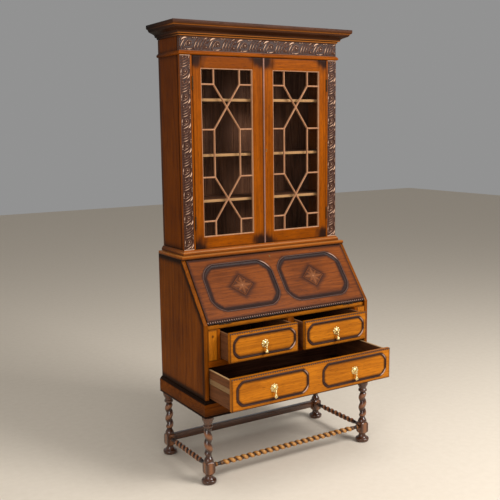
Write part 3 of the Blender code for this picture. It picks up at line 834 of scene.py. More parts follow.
# ---- stand
@dataclass
class Stand:
    """Twisted legs, twisted stretchers and the moulded frame."""

    leg_x: float = 0.4425
    leg_depths: dict[str, float] = field(default_factory=lambda: {"front": 0.432, "back": 0.0335})
    segments: int = 56
    pitch: float = 0.052
    ridge: float = 0.0198
    valley: float = 0.0120
    stretcher_z: float = 0.079
    block: float = 0.022
    rope_pitch: float = 0.0338
    twist_foot: float = 0.1305
    twist_rise: float = 0.1260
    twist_rings: int = 53

    def build(self) -> None:
        """Make every piece of the stand."""
        for place, depth in self.leg_depths.items():
            for side, sign in (("left", -1), ("right", 1)):
                hand = sign if place == "front" else -sign
                self.leg(place, side, sign * self.leg_x, depth, hand)
        front, back = self.leg_depths["front"], self.leg_depths["back"]
        self.rope("front", (-self.leg_x, front), (self.leg_x, front), GOLDEN)
        self.rope("left", (-self.leg_x, front), (-self.leg_x, back), TURNED)
        self.rope("right", (self.leg_x, front), (self.leg_x, back), TURNED)
        low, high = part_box("stretcher_back")
        piece = Piece("back_rail")
        piece.box(*spans(low, high), edge=0.0015)
        piece.finish([TURNED.material(Grain.ALONG_X)], "carcase", "oak_dark", ["stretcher_back"])
        self.frame_ring()

    def levels(self) -> list[tuple[float, float, float, float]]:
        """(z, size, squareness, twist) of a leg from foot to top.

        Returns:
            The levels.
        """
        foot = [(0.0, 0.0250, 2, 0), (0.001, 0.0290, 2, 0), (0.004, 0.0325, 2, 0), (0.009, 0.0340, 2, 0),
                (0.014, 0.0343, 2, 0), (0.018, 0.0330, 2, 0), (0.0205, 0.0295, 2, 0), (0.0215, 0.0255, 2, 0),
                (0.0225, 0.0235, 2, 0), (0.026, 0.0215, 2, 0), (0.031, 0.0182, 2, 0), (0.036, 0.0168, 2, 0),
                (0.0395, 0.0166, 2, 0), (0.041, 0.0180, 2, 0), (0.0425, 0.0180, 2, 0)]
        block = [(0.0432, 0.0185, 3, 0), (0.046, 0.0206, 7, 0), (0.050, 0.0216, 14, 0),
                 (0.055, 0.0219, 26, 0), (0.089, 0.0219, 26, 0), (0.094, 0.0216, 14, 0),
                 (0.098, 0.0206, 7, 0), (0.1005, 0.0190, 3, 0)]
        dome = [(0.1015, 0.0212, 2, 0), (0.104, 0.0222, 2, 0), (0.107, 0.0218, 2, 0), (0.112, 0.0203, 2, 0),
                (0.117, 0.0180, 2, 0), (0.121, 0.0150, 2, 0), (0.124, 0.0128, 2, 0), (0.1255, 0.0136, 2, 0),
                (0.1275, 0.0138, 2, 0), (0.129, 0.0125, 2, 0)]
        twist = []
        last = self.twist_rings - 1
        for i in range(self.twist_rings):
            z = self.twist_foot + self.twist_rise * i / last
            fade = min(1.0, 0.35 + i / 5, 0.35 + (last - i) / 5)
            twist.append((z, 0.0130, 2, fade))
        head = [(0.2580, 0.0122, 2, 0), (0.2600, 0.0126, 2, 0), (0.2615, 0.0168, 2, 0),
                (0.264, 0.0205, 2, 0), (0.268, 0.0217, 2, 0), (0.272, 0.0214, 2, 0), (0.2745, 0.0190, 2, 0),
                (0.2765, 0.0176, 2, 0), (0.279, 0.0178, 2, 0), (0.284, 0.0192, 2, 0), (0.289, 0.0214, 2, 0),
                (0.294, 0.0240, 2, 0), (0.299, 0.0260, 2, 0), (0.303, 0.0268, 2, 0), (0.3107, 0.0268, 2, 0)]
        return foot + block + dome + twist + head

    def section(self, angle: float, z: float, size: float, square: float, twist: float, hand: int) -> float:
        """Radius of the leg at one angle and height.

        Args:
            angle: angle round the leg.
            z: height.
            size: radius where plain.
            square: 2 for round, more for square.
            twist: share of the twist.
            hand: 1 or -1, its hand.

        Returns:
            The radius.
        """
        plain = size / (abs(math.cos(angle)) ** square + abs(math.sin(angle)) ** square) ** (1.0 / square)
        if not twist:
            return plain
        phase = angle - hand * 2.0 * math.pi * z / self.pitch
        rope = self.valley + (self.ridge - self.valley) * abs(math.cos(phase / 2)) ** 1.2
        return plain + (rope - plain) * twist

    def leg(self, place: str, side: str, x: float, depth: float, hand: int) -> None:
        """One turned and twisted leg.

        Args:
            place: front or back.
            side: left or right.
            x: its centre.
            depth: its centre.
            hand: 1 or -1, hand of the twist.
        """
        piece = Piece(f"turned_leg_{place}_{side}")
        rings = []
        for z, size, square, twist in self.levels():
            ring = []
            for i in range(self.segments):
                angle = 2.0 * math.pi * i / self.segments
                radius = self.section(angle, z, size, square, twist, hand)
                ring.append((x + radius * math.cos(angle), depth_y(depth) + radius * math.sin(angle), z))
            rings.append(ring)

        def polished_and_lit(co: Vector) -> float:
            """Polish on the swelling parts, lighter block faces, and painted shade with some grime in the
            hollows and necks.

            Args:
                co: a point of the board.

            Returns:
                Its stain.
            """
            reach = math.hypot(co.x - x, co.y - depth_y(depth))
            # The twist gets painted shade in its hollows and lighter polish on its ridges; the narrow necks
            # elsewhere get painted shade.
            if 0.130 < co.z < 0.257:
                return 0.60 - 0.98 * smoothstep(0.0125, 0.0198, reach)
            if 0.045 < co.z < 0.099:
                return -0.42 * (1.0 - smoothstep(0.021, 0.028, reach))
            return 0.45 * (1.0 - smoothstep(0.012, 0.020, reach))
        piece.loft(rings, rule=polished_and_lit)
        piece.finish([TURNED.material(Grain.ALONG_Z)], "carcase", "oak_dark", [f"leg_{place}_{side}"])

    def rope(self, side: str, start: Point2, stop: Point2, finish: OakFinish) -> None:
        """A twisted stretcher with plain turned ends.

        Args:
            side: front, left or right.
            start: (x, depth) of one leg.
            stop: (x, depth) of the other leg.
            finish: its finish.
        """
        begin = Vector((start[0], depth_y(start[1]), self.stretcher_z))
        end = Vector((stop[0], depth_y(stop[1]), self.stretcher_z))
        along = (end - begin).normalized()
        begin += along * (self.block + 0.0003)
        end -= along * (self.block + 0.0003)
        length = (end - begin).length
        sideways = along.cross(Vector((0, 0, 1)))
        ends = [(0.0, 0.0080), (0.004, 0.0085), (0.009, 0.0086), (0.011, 0.0100), (0.0145, 0.0108),
                (0.018, 0.0100), (0.020, 0.0084), (0.024, 0.0078), (0.032, 0.0080), (0.038, 0.0092),
                (0.041, 0.0100), (0.044, 0.0094)]
        twisted = length - 0.096
        count = round(twisted / self.rope_pitch) * 10
        plan = [(run, radius, 0.0) for run, radius in ends]
        plan += [(0.048 + twisted * i / count, 0.0095, min(1.0, 0.3 + i / 5, 0.3 + (count - i) / 5))
                 for i in range(count + 1)]
        plan += [(length - run, radius, 0.0) for run, radius in reversed(ends)]
        rings = []
        for run, radius, twist in plan:
            ring = []
            for i in range(28):
                angle = 2.0 * math.pi * i / 28
                phase = angle + 2.0 * math.pi * run / self.rope_pitch
                rope = 0.0074 + 0.0061 * abs(math.cos(phase / 2)) ** 1.1
                reach = radius + (rope - radius) * twist
                ring.append(begin + along * run
                            + (sideways * math.cos(angle) + Vector((0, 0, 1)) * math.sin(angle)) * reach)
            rings.append(ring)

        def polished_and_lit(co: Vector) -> float:
            """Polish with a painted highlight on the strands, painted shade with some grime between them."""
            reach = ((co - begin) - along * (co - begin).dot(along)).length
            return 0.95 - 1.50 * smoothstep(0.0078, 0.0130, reach)
        piece = Piece(f"twisted_stretcher_{side}")
        piece.loft(rings, rule=polished_and_lit)
        grain = Grain.ALONG_X if side == "front" else Grain.ALONG_Y
        piece.finish([finish.material(grain)], "carcase", "oak_dark", [f"stretcher_{side}"])

    def frame_ring(self) -> None:
        """The moulded frame under the bureau."""
        piece = Piece("stand_frame")
        half, front = 0.4575, 0.4455
        inner = 0.441 - half
        profile = [(inner, 0.3115), (0.0085, 0.3113), (0.0115, 0.3125), (0.0132, 0.3155), (0.0134, 0.3190),
                   (0.0120, 0.3205), (0.0120, 0.3225), (0.0132, 0.3235), (0.0130, 0.3745), (0.0122, 0.3762),
                   (0.0100, 0.3768), (0.0098, 0.3776), (0.0095, 0.3805), (0.0080, 0.3828), (0.0058, 0.3838),
                   (0.0048, 0.3842), (0.0046, 0.3862), (0.0034, 0.3878), (0.0015, 0.3886), (inner, 0.3886)]

        def stain_and_shade(co: Vector) -> float:
            """Painted shade along the lower edge, where the frame turns under, and dark in the double line on
            top.

            Args:
                co: a point of the board.

            Returns:
                Its stain.
            """
            # The lower edge is painted dark as the shade where the frame turns under.
            low = 1.0 - smoothstep(0.3195, 0.327, co.z)
            high = smoothstep(0.3735, 0.378, co.z)
            at_front = co.y < depth_y(front - 0.01)
            ends = 1.0 - smoothstep(0.0, 0.03, half + 0.013 - abs(co.x)) if at_front else 0.0
            return min(0.95, 0.95 * low + 0.95 * high + 0.25 * ends - 0.12)
        piece.mitred(profile, half, front, 0.0, rule=stain_and_shade)
        piece.box((-0.4405, 0.4405), (0.0005, 0.0295), (0.3118, 0.3884), edge=0.001)
        piece.finish([CASE.material(Grain.ALONG_X)], "carcase", "oak_honey", ["base_frame"])


# ---- bureau carcase
@dataclass
class BureauCase:
    """Panels, rails, lopers and pigeonholes of the bureau."""

    half: float = 0.4575
    thick: float = 0.018
    depth: float = 0.444
    low: float = 0.3893
    high: float = 0.9897
    knee: float = 0.7294

    def build(self) -> None:
        """Make every fixed piece of the bureau and the lopers."""
        for side in ("left", "right"):
            self.side(side)
            self.partition(side)
            self.loper(side)
        self.boards()
        self.back()
        self.bed()
        for node in ("bureau_bottom", "pigeonhole_unit"):
            dress_node(node, INSIDE.material(Grain.ALONG_X))
        for side in ("left", "right"):
            dress_node(f"fall_hinge_{side}", DARK_BRASS.material(), 0.0)

    def slope_depth(self, z: float) -> float:
        """Depth of the front edge of a side panel at a height.

        Args:
            z: height.

        Returns:
            The depth.
        """
        if z <= self.knee:
            return self.depth
        return self.depth - (z - self.knee) * math.tan(FALL_SLOPE)

    def side(self, side: str) -> None:
        """A side panel with its sloping shoulder.

        Args:
            side: left or right.
        """
        low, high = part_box(f"bureau_side_{side}")
        piece = Piece(f"side_panel_{side}")
        outline = [(0.0, self.low), (self.depth, self.low), (self.depth, self.knee),
                   (self.slope_depth(self.high), self.high), (0.0, self.high)]
        face = piece.bm.faces.new([piece.bm.verts.new((low[0], depth_y(depth), z)) for depth, z in outline])
        grown = bmesh.ops.extrude_face_region(piece.bm, geom=[face])["geom"]
        moved = [item for item in grown if isinstance(item, bmesh.types.BMVert)]
        bmesh.ops.translate(piece.bm, verts=moved, vec=(high[0] - low[0], 0, 0))
        bmesh.ops.bevel(piece.bm, geom=piece.fresh_edges(), offset=0.0012, offset_type="OFFSET", segments=2,
                        profile=0.5, affect="EDGES", material=-1, clamp_overlap=True)
        piece.slice(1, depth_y(self.depth), depth_y(0.0), 0.012)
        piece.slice(2, self.low, self.high, 0.012)

        def stain_and_shade(co: Vector) -> float:
            """Dark round the border, with a bright front edge.

            Args:
                co: a point of the board.

            Returns:
                Its stain.
            """
            depth = BACK_Y - co.y
            to_front = (self.slope_depth(co.z) - depth) * (0.79 if co.z > self.knee else 1.0)
            if to_front < 0.0013:
                return -0.12
            gap = min(to_front, (self.high - co.z) * 1.1, (co.z - self.low) * 1.2)
            # Lighter towards the lower front of the side, and darker towards the top.
            lower_front_lift = 0.34 * (1.0 - smoothstep(0.42, 0.82, co.z)) * smoothstep(0.04, 0.38, depth)
            border = 0.90 * (1.0 - smoothstep(0.006, 0.046, gap))
            return max(border, 0.26 * smoothstep(0.58, 0.95, co.z) - lower_front_lift)
        piece.settle(0, stain_and_shade)
        strip = Vector((0, -1, 0))
        slope = Vector((0, -math.cos(FALL_SLOPE), math.sin(FALL_SLOPE)))
        for face in piece.bm.faces:
            face.normal_update()
            if face.normal.dot(strip) > 0.95 or face.normal.dot(slope) > 0.95:
                face.material_index = 1
        piece.finish([CASE.material(Grain.ALONG_Z), EDGE.material(Grain.ALONG_Z)], "carcase", "oak_honey",
                     [f"bureau_side_{side}"])

    def partition(self, side: str) -> None:
        """The upright between a loper and a small drawer.

        Args:
            side: left or right.
        """
        low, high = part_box(f"loper_partition_{side}")
        piece = Piece(f"partition_{side}")
        piece.box(*spans(low, high))
        piece.finish([DOOR.material(Grain.ALONG_Z)], "carcase", "oak_honey", [f"loper_partition_{side}"])

    def loper(self, side: str) -> None:
        """A pull-out support with a dark spot near the top.

        Args:
            side: left or right.
        """
        low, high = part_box(f"loper_{side}")
        centre = (low[0] + high[0]) / 2
        top = high[2]

        def stain_and_shade(co: Vector) -> float:
            """Dark spot near the top and darker foot.

            Args:
                co: a point of the board.

            Returns:
                Its stain.
            """
            if co.y > low[1] + 0.004:
                return 0.25
            spot = math.hypot(co.x - centre, co.z - (top - 0.028))
            edge = edge_stain((low[0], high[0]), (low[2], high[2]), 0.008, 0.55)(co)
            return max(0.7 * (1.0 - smoothstep(0.003, 0.011, spot)), edge)
        piece = Piece(f"pull_support_{side}")
        piece.box(*spans(low, high), rule=stain_and_shade)
        piece.box((low[0] + 0.0022, high[0] - 0.0022), (BACK_Y - low[1] - 0.001, BACK_Y - low[1] + 0.0004),
                  (low[2] + 0.0022, high[2] - 0.0022), edge=0.0003, rule=stain_and_shade, step=0.004)
        piece.finish([HONEY.material(Grain.ALONG_Z)], f"{side}_loper", "oak_honey", [f"loper_{side}"])

    def boards(self) -> None:
        """Top board, drawer rail and muntin."""
        low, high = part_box("bureau_top")
        piece = Piece("top_board")
        # The lowest 3 mm of the board is painted dark as the shade under its edge, the top 3 mm light as a
        # painted highlight.
        piece.box(*spans(low, high), edge=0.0022,
                  rule=lambda co: 0.75 if co.z < low[2] + 0.003 else -0.35 if co.z > high[2] - 0.003 else 0.0)
        piece.finish([EDGE.material(Grain.ALONG_X)], "carcase", "oak_honey", ["bureau_top"])
        low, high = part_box("drawer_rail")
        piece = Piece("drawer_rail_boards")
        piece.box((low[0], high[0]), (self.depth - 0.040, self.depth), (low[2], high[2]))
        piece.box((low[0], high[0]), (0.010, self.depth - 0.0403), (high[2] - 0.012, high[2]), slot=1)
        piece.finish([DOOR.material(Grain.ALONG_X), INSIDE.material(Grain.ALONG_X)], "carcase", "oak_honey",
                     ["drawer_rail"])
        low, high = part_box("drawer_muntin")
        piece = Piece("muntin")
        piece.box(*spans(low, high))
        piece.finish([CASE.material(Grain.ALONG_Z)], "carcase", "oak_honey", ["drawer_muntin"])

    def bed(self) -> None:
        """The writing bed, with a bright front edge and a leather panel."""
        low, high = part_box("writing_bed")
        front = BACK_Y - low[1]
        piece = Piece("bed_board")
        piece.box((low[0], high[0]), (BACK_Y - high[1], front - 0.0122), (low[2], high[2]), slot=1)
        # The lowest 1.5 mm of the front edge is painted dark as the shade above the drawer gap.
        piece.box((low[0], high[0]), (front - 0.012, front), (low[2], high[2]), edge=0.0012,
                  rule=lambda co: 0.5 if co.z < low[2] + 0.0015 else -0.15)
        piece.finish([HONEY.material(Grain.ALONG_X), INSIDE.material(Grain.ALONG_X)], "carcase", "oak_honey",
                     ["writing_bed"])

    def back(self) -> None:
        """Upright boards that close the back of the bureau."""
        low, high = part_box("bureau_back")
        piece = Piece("bureau_back_boards")
        count = 7
        step = (high[0] - low[0]) / count
        for i in range(count):
            piece.box((low[0] + i * step + 0.0002, low[0] + (i + 1) * step - 0.0002), (0.0, BACK_Y - low[1]),
                      (low[2], high[2]), edge=0.0018)
        piece.finish([INSIDE.material(Grain.ALONG_Z)], "carcase", "oak_inner", ["bureau_back"])


# ---- mouldings
def cut_corner_outline(x: Point2, z: Point2, inset: float, corner: float, bow: float,
                       spacing: float) -> list[Point2]:
    """A rectangle whose corners are cut by bowed curves, at an inset.

    Args:
        x, z: the rectangle.
        inset: how far the outline lies inside it.
        corner: length of the cut along each edge.
        bow: how far the cut swells outwards.
        spacing: rough distance between points, the same number at every inset.

    Returns:
        The closed outline.
    """
    centre = ((x[0] + x[1]) / 2, (z[0] + z[1]) / 2)
    half = ((x[1] - x[0]) / 2, (z[1] - z[0]) / 2)
    straight = (half[0] - corner, half[1] - corner)
    counts = (max(2, round(2 * straight[0] / spacing)), max(2, round(2 * straight[1] / spacing)))
    bend = max(6, round(1.5 * corner / spacing))
    points: list[Point2] = []
    for quarter in range(4):
        sx, sz = ((1, 1), (-1, 1), (-1, -1), (1, -1))[quarter]
        first, last = (half[0] - inset, straight[1]), (straight[0], half[1] - inset)
        if quarter % 2:
            first, last = last, first
        for i in range(bend + 1):
            t = i / bend
            swell = bow * math.sin(math.pi * t)
            px = first[0] + (last[0] - first[0]) * t + swell * HALF_DIAGONAL
            pz = first[1] + (last[1] - first[1]) * t + swell * HALF_DIAGONAL
            pull = inset * 0.4 * math.sin(math.pi * t)
            points.append((centre[0] + sx * (px - pull), centre[1] + sz * (pz - pull)))
        run = counts[0] if quarter % 2 == 0 else counts[1]
        following = ((-1, 1), (-1, -1), (1, -1), (1, 1))[quarter]
        ahead = (straight[0], half[1] - inset) if quarter % 2 == 0 else (half[0] - inset, straight[1])
        begin = points[-1]
        stop = (centre[0] + following[0] * ahead[0], centre[1] + following[1] * ahead[1])
        for i in range(1, run):
            points.append((begin[0] + (stop[0] - begin[0]) * i / run,
                           begin[1] + (stop[1] - begin[1]) * i / run))
    return points


def cut_gap(point: Point2, x: Point2, z: Point2, corner: float, bow: float) -> float:
    """Distance of a point inside a cut-cornered rectangle from its outline, negative outside.

    Args:
        point: (x, z).
        x: extent in X.
        z: extent in Z.
        corner: length of the cut.
        bow: swell of the cut.

    Returns:
        The distance.
    """
    dx = min(point[0] - x[0], x[1] - point[0])
    dz = min(point[1] - z[0], z[1] - point[1])
    return min(dx, dz, (dx + dz - corner) * HALF_DIAGONAL + bow)


def nicked_bead(columns: int, rows: int, valley: float) -> np.ndarray:
    """Height map of a round bead that is nicked at a regular spacing.

    Args:
        columns, rows: size of the map.
        valley: height left in the nicks.

    Returns:
        The map.
    """
    crest = np.sqrt(np.maximum(0.0, 1.0 - np.linspace(-1.0, 1.0, rows) ** 2))
    return np.array([crest * (1.0 if i % NICK_CYCLE < NICK_CYCLE / 2 else valley) for i in range(columns)])


def band(gap: float, solid: float, soft: float, spill: float) -> float:
    """Darkness of a stained band that starts at an outline and fades inwards and outwards."""
    return 1.0 - smoothstep(solid, soft, gap) if gap > 0.0 else 1.0 - smoothstep(0.0, spill, -gap)


@dataclass
class Framing:
    """An applied moulding that follows a cut-cornered outline."""

    x: Point2
    z: Point2
    corner: float
    bow: float
    profile: Sequence[Point2]
    nick: float = 0.0
    spacing: float = 0.0035

    def rings(self, place: Callable[[float, float, float], Sequence[float]]) -> list[list[Sequence[float]]]:
        """Rings of the moulding, from its outer edge inwards.

        Args:
            place: turns (x, z, height) into a point.

        Returns:
            One ring for each point of the profile.
        """
        rings = []
        for inset, rise in self.profile:
            outline = cut_corner_outline(self.x, self.z, inset, self.corner, self.bow, self.spacing)
            ring = []
            for index, (px, pz) in enumerate(outline):
                nicked = rise - self.nick * (index % 2) if rise > 0.0012 else rise
                ring.append(place(px, pz, nicked))
            rings.append(ring)
        return rings


# ---- fall
@dataclass
class Fall:
    """The sloping writing fall with two carved panels."""

    tilt: float = FALL_SLOPE
    hinge: Point2 = (0.4328, 0.722)
    half: float = 0.4385
    length: float = 0.3215
    thick: float = 0.018
    panel_x: Point2 = (0.0155, 0.387)
    panel_up: Point2 = (0.048, 0.290)
    corner: float = 0.066
    bow: float = 0.0130
    ground: float = 0.0140
    rosette_at: Point2 = (0.2005, 0.1690)
    frame_foot: float = 0.0135

    def matrix(self) -> Matrix:
        """Turns (x, up, out) on the fall into the row frame.

        Returns:
            The matrix.
        """
        up = Vector((0, math.sin(self.tilt), math.cos(self.tilt)))
        out = Vector((0, -math.cos(self.tilt), math.sin(self.tilt)))
        columns = Matrix((Vector((1, 0, 0)), up, out)).transposed()
        return Matrix.Translation((0, depth_y(self.hinge[0]), self.hinge[1])) @ columns.to_4x4()

    def build(self) -> None:
        """Make the fall, its carving and its lock."""
        turn = self.matrix()
        piece = Piece("fall")
        self.slab(piece)
        for sign in (-1, 1):
            self.moulding(piece, sign)
            self.rosette(piece, sign)
        self.bead(piece)
        piece.turn_onto(piece.bm.verts, turn)
        piece.finish([FALL.material(Grain.ALONG_X), BEAD.material(Grain.ALONG_X),
                      ROSE.material(Grain.ALONG_X)], "fall", "oak_red", ["fall_flap"])
        self.lock(turn)
        self.skiver(turn)

    def slab(self, piece: Piece) -> None:
        """The board behind the panels and the pierced framing on it.

        Args:
            piece: piece to add to.
        """
        low = Vector((-self.half, 0.0032, 0.0))
        high = Vector((self.half, self.length, self.ground))
        matrix = Matrix.Translation((low + high) / 2) @ Matrix.Diagonal((*(high - low), 1.0))
        bmesh.ops.create_cube(piece.bm, size=1.0, matrix=matrix)
        piece.slice(0, low.x, high.x, 0.010)
        piece.slice(1, low.y, high.y, 0.010)

        def panel_stain(co: Vector) -> float:
            """Dark halo inside the moulding and round the rosette.

            Args:
                co: a point of the board.

            Returns:
                Its stain.
            """
            if co.z < self.ground - 0.001:
                return 0.1
            gap = cut_gap((abs(co.x), co.y), self.panel_x, self.panel_up, self.corner, self.bow)
            diamond = abs(abs(co.x) - self.rosette_at[0]) / 0.075 + abs(co.y - self.rosette_at[1]) / 0.068
            halo = 1.0 - smoothstep(0.75, 1.45, diamond)
            return min(0.9, 0.92 * band(gap, 0.017, 0.036, 0.01) + 0.75 * halo)
        piece.settle(0, panel_stain)
        edges = []
        outlines = [[(-self.half, self.frame_foot), (self.half, self.frame_foot),
                     (self.half, self.length), (-self.half, self.length)]]
        for sign in (-1, 1):
            x = sorted((sign * self.panel_x[0], sign * self.panel_x[1]))
            outlines.append(cut_corner_outline((x[0], x[1]), self.panel_up, 0.0, self.corner,
                                               self.bow, 0.008))
        for outline in outlines:
            verts = [piece.bm.verts.new((px, up, self.ground - 0.0005)) for px, up in outline]
            edges += [piece.bm.edges.new((verts[i - 1], verts[i])) for i in range(len(verts))]
        bmesh.ops.triangle_fill(piece.bm, use_beauty=True, use_dissolve=False, edges=edges, normal=(0, 0, 1))
        faces = [face for face in piece.bm.faces if all(vert[piece.board] == 0.0 for vert in face.verts)]
        grown = bmesh.ops.extrude_face_region(piece.bm, geom=faces)["geom"]
        moved = [item for item in grown if isinstance(item, bmesh.types.BMVert)]
        bmesh.ops.translate(piece.bm, verts=moved, vec=(0, 0, self.thick - self.ground + 0.0005))
        piece.slice(0, -self.half, self.half, 0.012)
        piece.slice(1, self.frame_foot, self.length, 0.012)

        def frame_stain(co: Vector) -> float:
            """Dark along the outer border of the framing.

            Args:
                co: a point of the board.

            Returns:
                Its stain.
            """
            gap = min(self.half - abs(co.x), self.length - co.y, co.y - 0.010)
            near = cut_gap((abs(co.x), co.y), self.panel_x, self.panel_up, self.corner, self.bow)
            return max(0.80 * (1.0 - smoothstep(0.002, 0.020, gap)), 0.55 * band(near, 0.01, 0.02, 0.010))
        piece.settle(0, frame_stain)

    def moulding(self, piece: Piece, sign: int) -> None:
        """The dark carved moulding round one panel.

        Args:
            piece: piece to add to.
            sign: -1 on the left, 1 on the right.
        """
        x = sorted((sign * self.panel_x[0], sign * self.panel_x[1]))
        rise = self.thick - self.ground
        profile = [(-0.0025, rise - 0.0010), (-0.0020, rise + 0.0010), (0.0, rise + 0.0020),
                   (0.0024, rise + 0.0018), (0.0044, rise + 0.0004), (0.0062, rise - 0.0018),
                   (0.0090, 0.0016), (0.0125, 0.0012), (0.0150, 0.0004), (0.0160, -0.0006)]
        framing = Framing((x[0], x[1]), self.panel_up, self.corner, self.bow, profile, nick=0.0006)
        rings = framing.rings(lambda px, up, out: (px, up, self.ground + out))
        # Centre of a painted highlight on the crest.
        polished_and_lit = (x[1] - 0.4 * self.corner, self.panel_up[1] - 0.4 * self.corner)

        def stain_and_shade(co: Vector) -> float:
            """Dark moulding with a painted highlight along its crest, brightest at one corner.

            Args:
                co: a point of the board.

            Returns:
                Its stain.
            """
            if co.z < self.thick + 0.0010:
                return 0.55
            gap = math.hypot(co.x - polished_and_lit[0], co.y - polished_and_lit[1])
            return -0.20 - 0.60 * (1.0 - smoothstep(0.012, 0.036, gap))
        piece.loft(rings, slot=1, caps=False, rule=stain_and_shade)

    def rosette(self, piece: Piece, sign: int) -> None:
        """Carved lozenge of four petals.

        Args:
            piece: piece to add to.
            sign: -1 on the left, 1 on the right.
        """
        size = (0.066, 0.060)
        count = (104, 94)
        along = np.linspace(-size[0], size[0], count[0])[:, None]
        up = np.linspace(-size[1], size[1], count[1])[None, :]
        field_map = np.full((count[0], count[1]), -0.30)
        lozenge = 1.0 - (np.abs(along) / 0.060 + np.abs(up) / 0.054)
        field_map = np.maximum(field_map, np.where(lozenge > 0.0, 0.10, -0.30))
        border = np.clip(1.0 - np.abs(lozenge - 0.06) / 0.055, 0.0, 1.0)
        field_map = np.maximum(field_map, np.where(border > 0.05, border * 0.80, -0.30))
        for k in range(8):
            reach, width = ((0.051, 0.0125), (0.037, 0.0105), (0.046, 0.0125), (0.037, 0.0105))[k % 4]
            turn = math.radians(45.0 * k)
            run = along * math.cos(turn) + up * math.sin(turn)
            side = np.abs(-along * math.sin(turn) + up * math.cos(turn))
            t = np.clip(run / reach, 0.0, 1.0)
            swell = width * np.sin(np.pi * t ** 0.75) + 1e-6
            inside = np.clip(1.0 - side / swell, 0.0, 1.0) * (run > 0) * (run < reach)
            rib = 0.5 + 0.5 * np.cos(2.0 * np.pi * side / 0.0054)
            petal = np.where(inside > 0, 0.30 + 0.75 * np.sqrt(inside) - 0.50 * rib, -0.3)
            field_map = np.maximum(field_map, petal)
        centre = np.sqrt(np.maximum(0.0, 1.0 - (along ** 2 + up ** 2) / 0.0062 ** 2))
        field_map = np.maximum(field_map, centre * 1.1 - 0.3 * (centre <= 0))
        middle = (sign * self.rosette_at[0], self.rosette_at[1])
        piece.relief((middle[0] - size[0], middle[0] + size[0]), (middle[1] - size[1], middle[1] + size[1]),
                     field_map, lambda px, py, rise: (px, py, self.ground + 0.0036 * rise), -0.9, slot=2,
                     tones=(0.62, -0.55))

    def bead(self, piece: Piece) -> None:
        """Nicked bead along the lower edge.

        Args:
            piece: piece to add to.
        """
        piece.relief((-self.half, self.half), (0.0005, self.frame_foot), nicked_bead(440, 9, 0.12),
                     lambda px, py, height: (px, py, self.thick - 0.0044 + 0.0043 * height), -3.0, slot=1,
                     tones=(0.9, -0.55))

    def lock(self, turn: Matrix) -> None:
        """Brass thread escutcheon of the fall's lock.

        Args:
            turn: from the fall to the row frame.
        """
        piece = Piece("fall_escutcheon")
        rings = []
        for radius, out in ((0.0042, 0.0), (0.0042, 0.0008), (0.0036, 0.0011), (0.0026, 0.0008),
                            (0.0024, -0.001)):
            rings.append([(radius * 0.8 * math.cos(2 * math.pi * i / 20),
                           0.2995 + radius * 1.35 * math.sin(2 * math.pi * i / 20), self.thick + out)
                          for i in range(20)])
        # The foot against the wood and the shallow keyhole are painted dark as shade.
        piece.loft(rings, rule=lambda co: 0.9 if co.z < self.thick + 0.0002 else 0.0)
        piece.turn_onto(piece.bm.verts, turn)
        piece.finish([OLD_BRASS.material()], "fall", "brass")

    def skiver(self, turn: Matrix) -> None:
        """Writing lining let into the inner face of the fall.

        Args:
            turn: from the fall to the row frame.
        """
        piece = Piece("writing_lining")
        outline = cut_corner_outline((-0.385, 0.385), (0.045, 0.290), 0.0, 0.03, 0.004, 0.02)
        piece.loft([[(px, up, out) for px, up in outline] for out in (0.0012, -0.0004)])
        piece.turn_onto(piece.bm.verts, turn)
        tree = ShaderTree("writing_leather")
        place = tree.node("ShaderNodeTexCoord").outputs["Object"]
        grain = tree.noise(place, 420.0, 4.0)
        wear = tree.noise(place, 9.0, 3.0)
        colour = tree.mix(wear.ramp(0.35, 0.7), (0.035, 0.016, 0.008), (0.085, 0.036, 0.016))
        bump = tree.node("ShaderNodeBump", None, {"Strength": 0.4, "Distance": 0.0005, "Height": grain})
        leather = tree.dress(base_color=colour, roughness=grain * 0.3 + 0.35, normal=bump.outputs[0])
        piece.finish([leather], "fall", "oak_red")


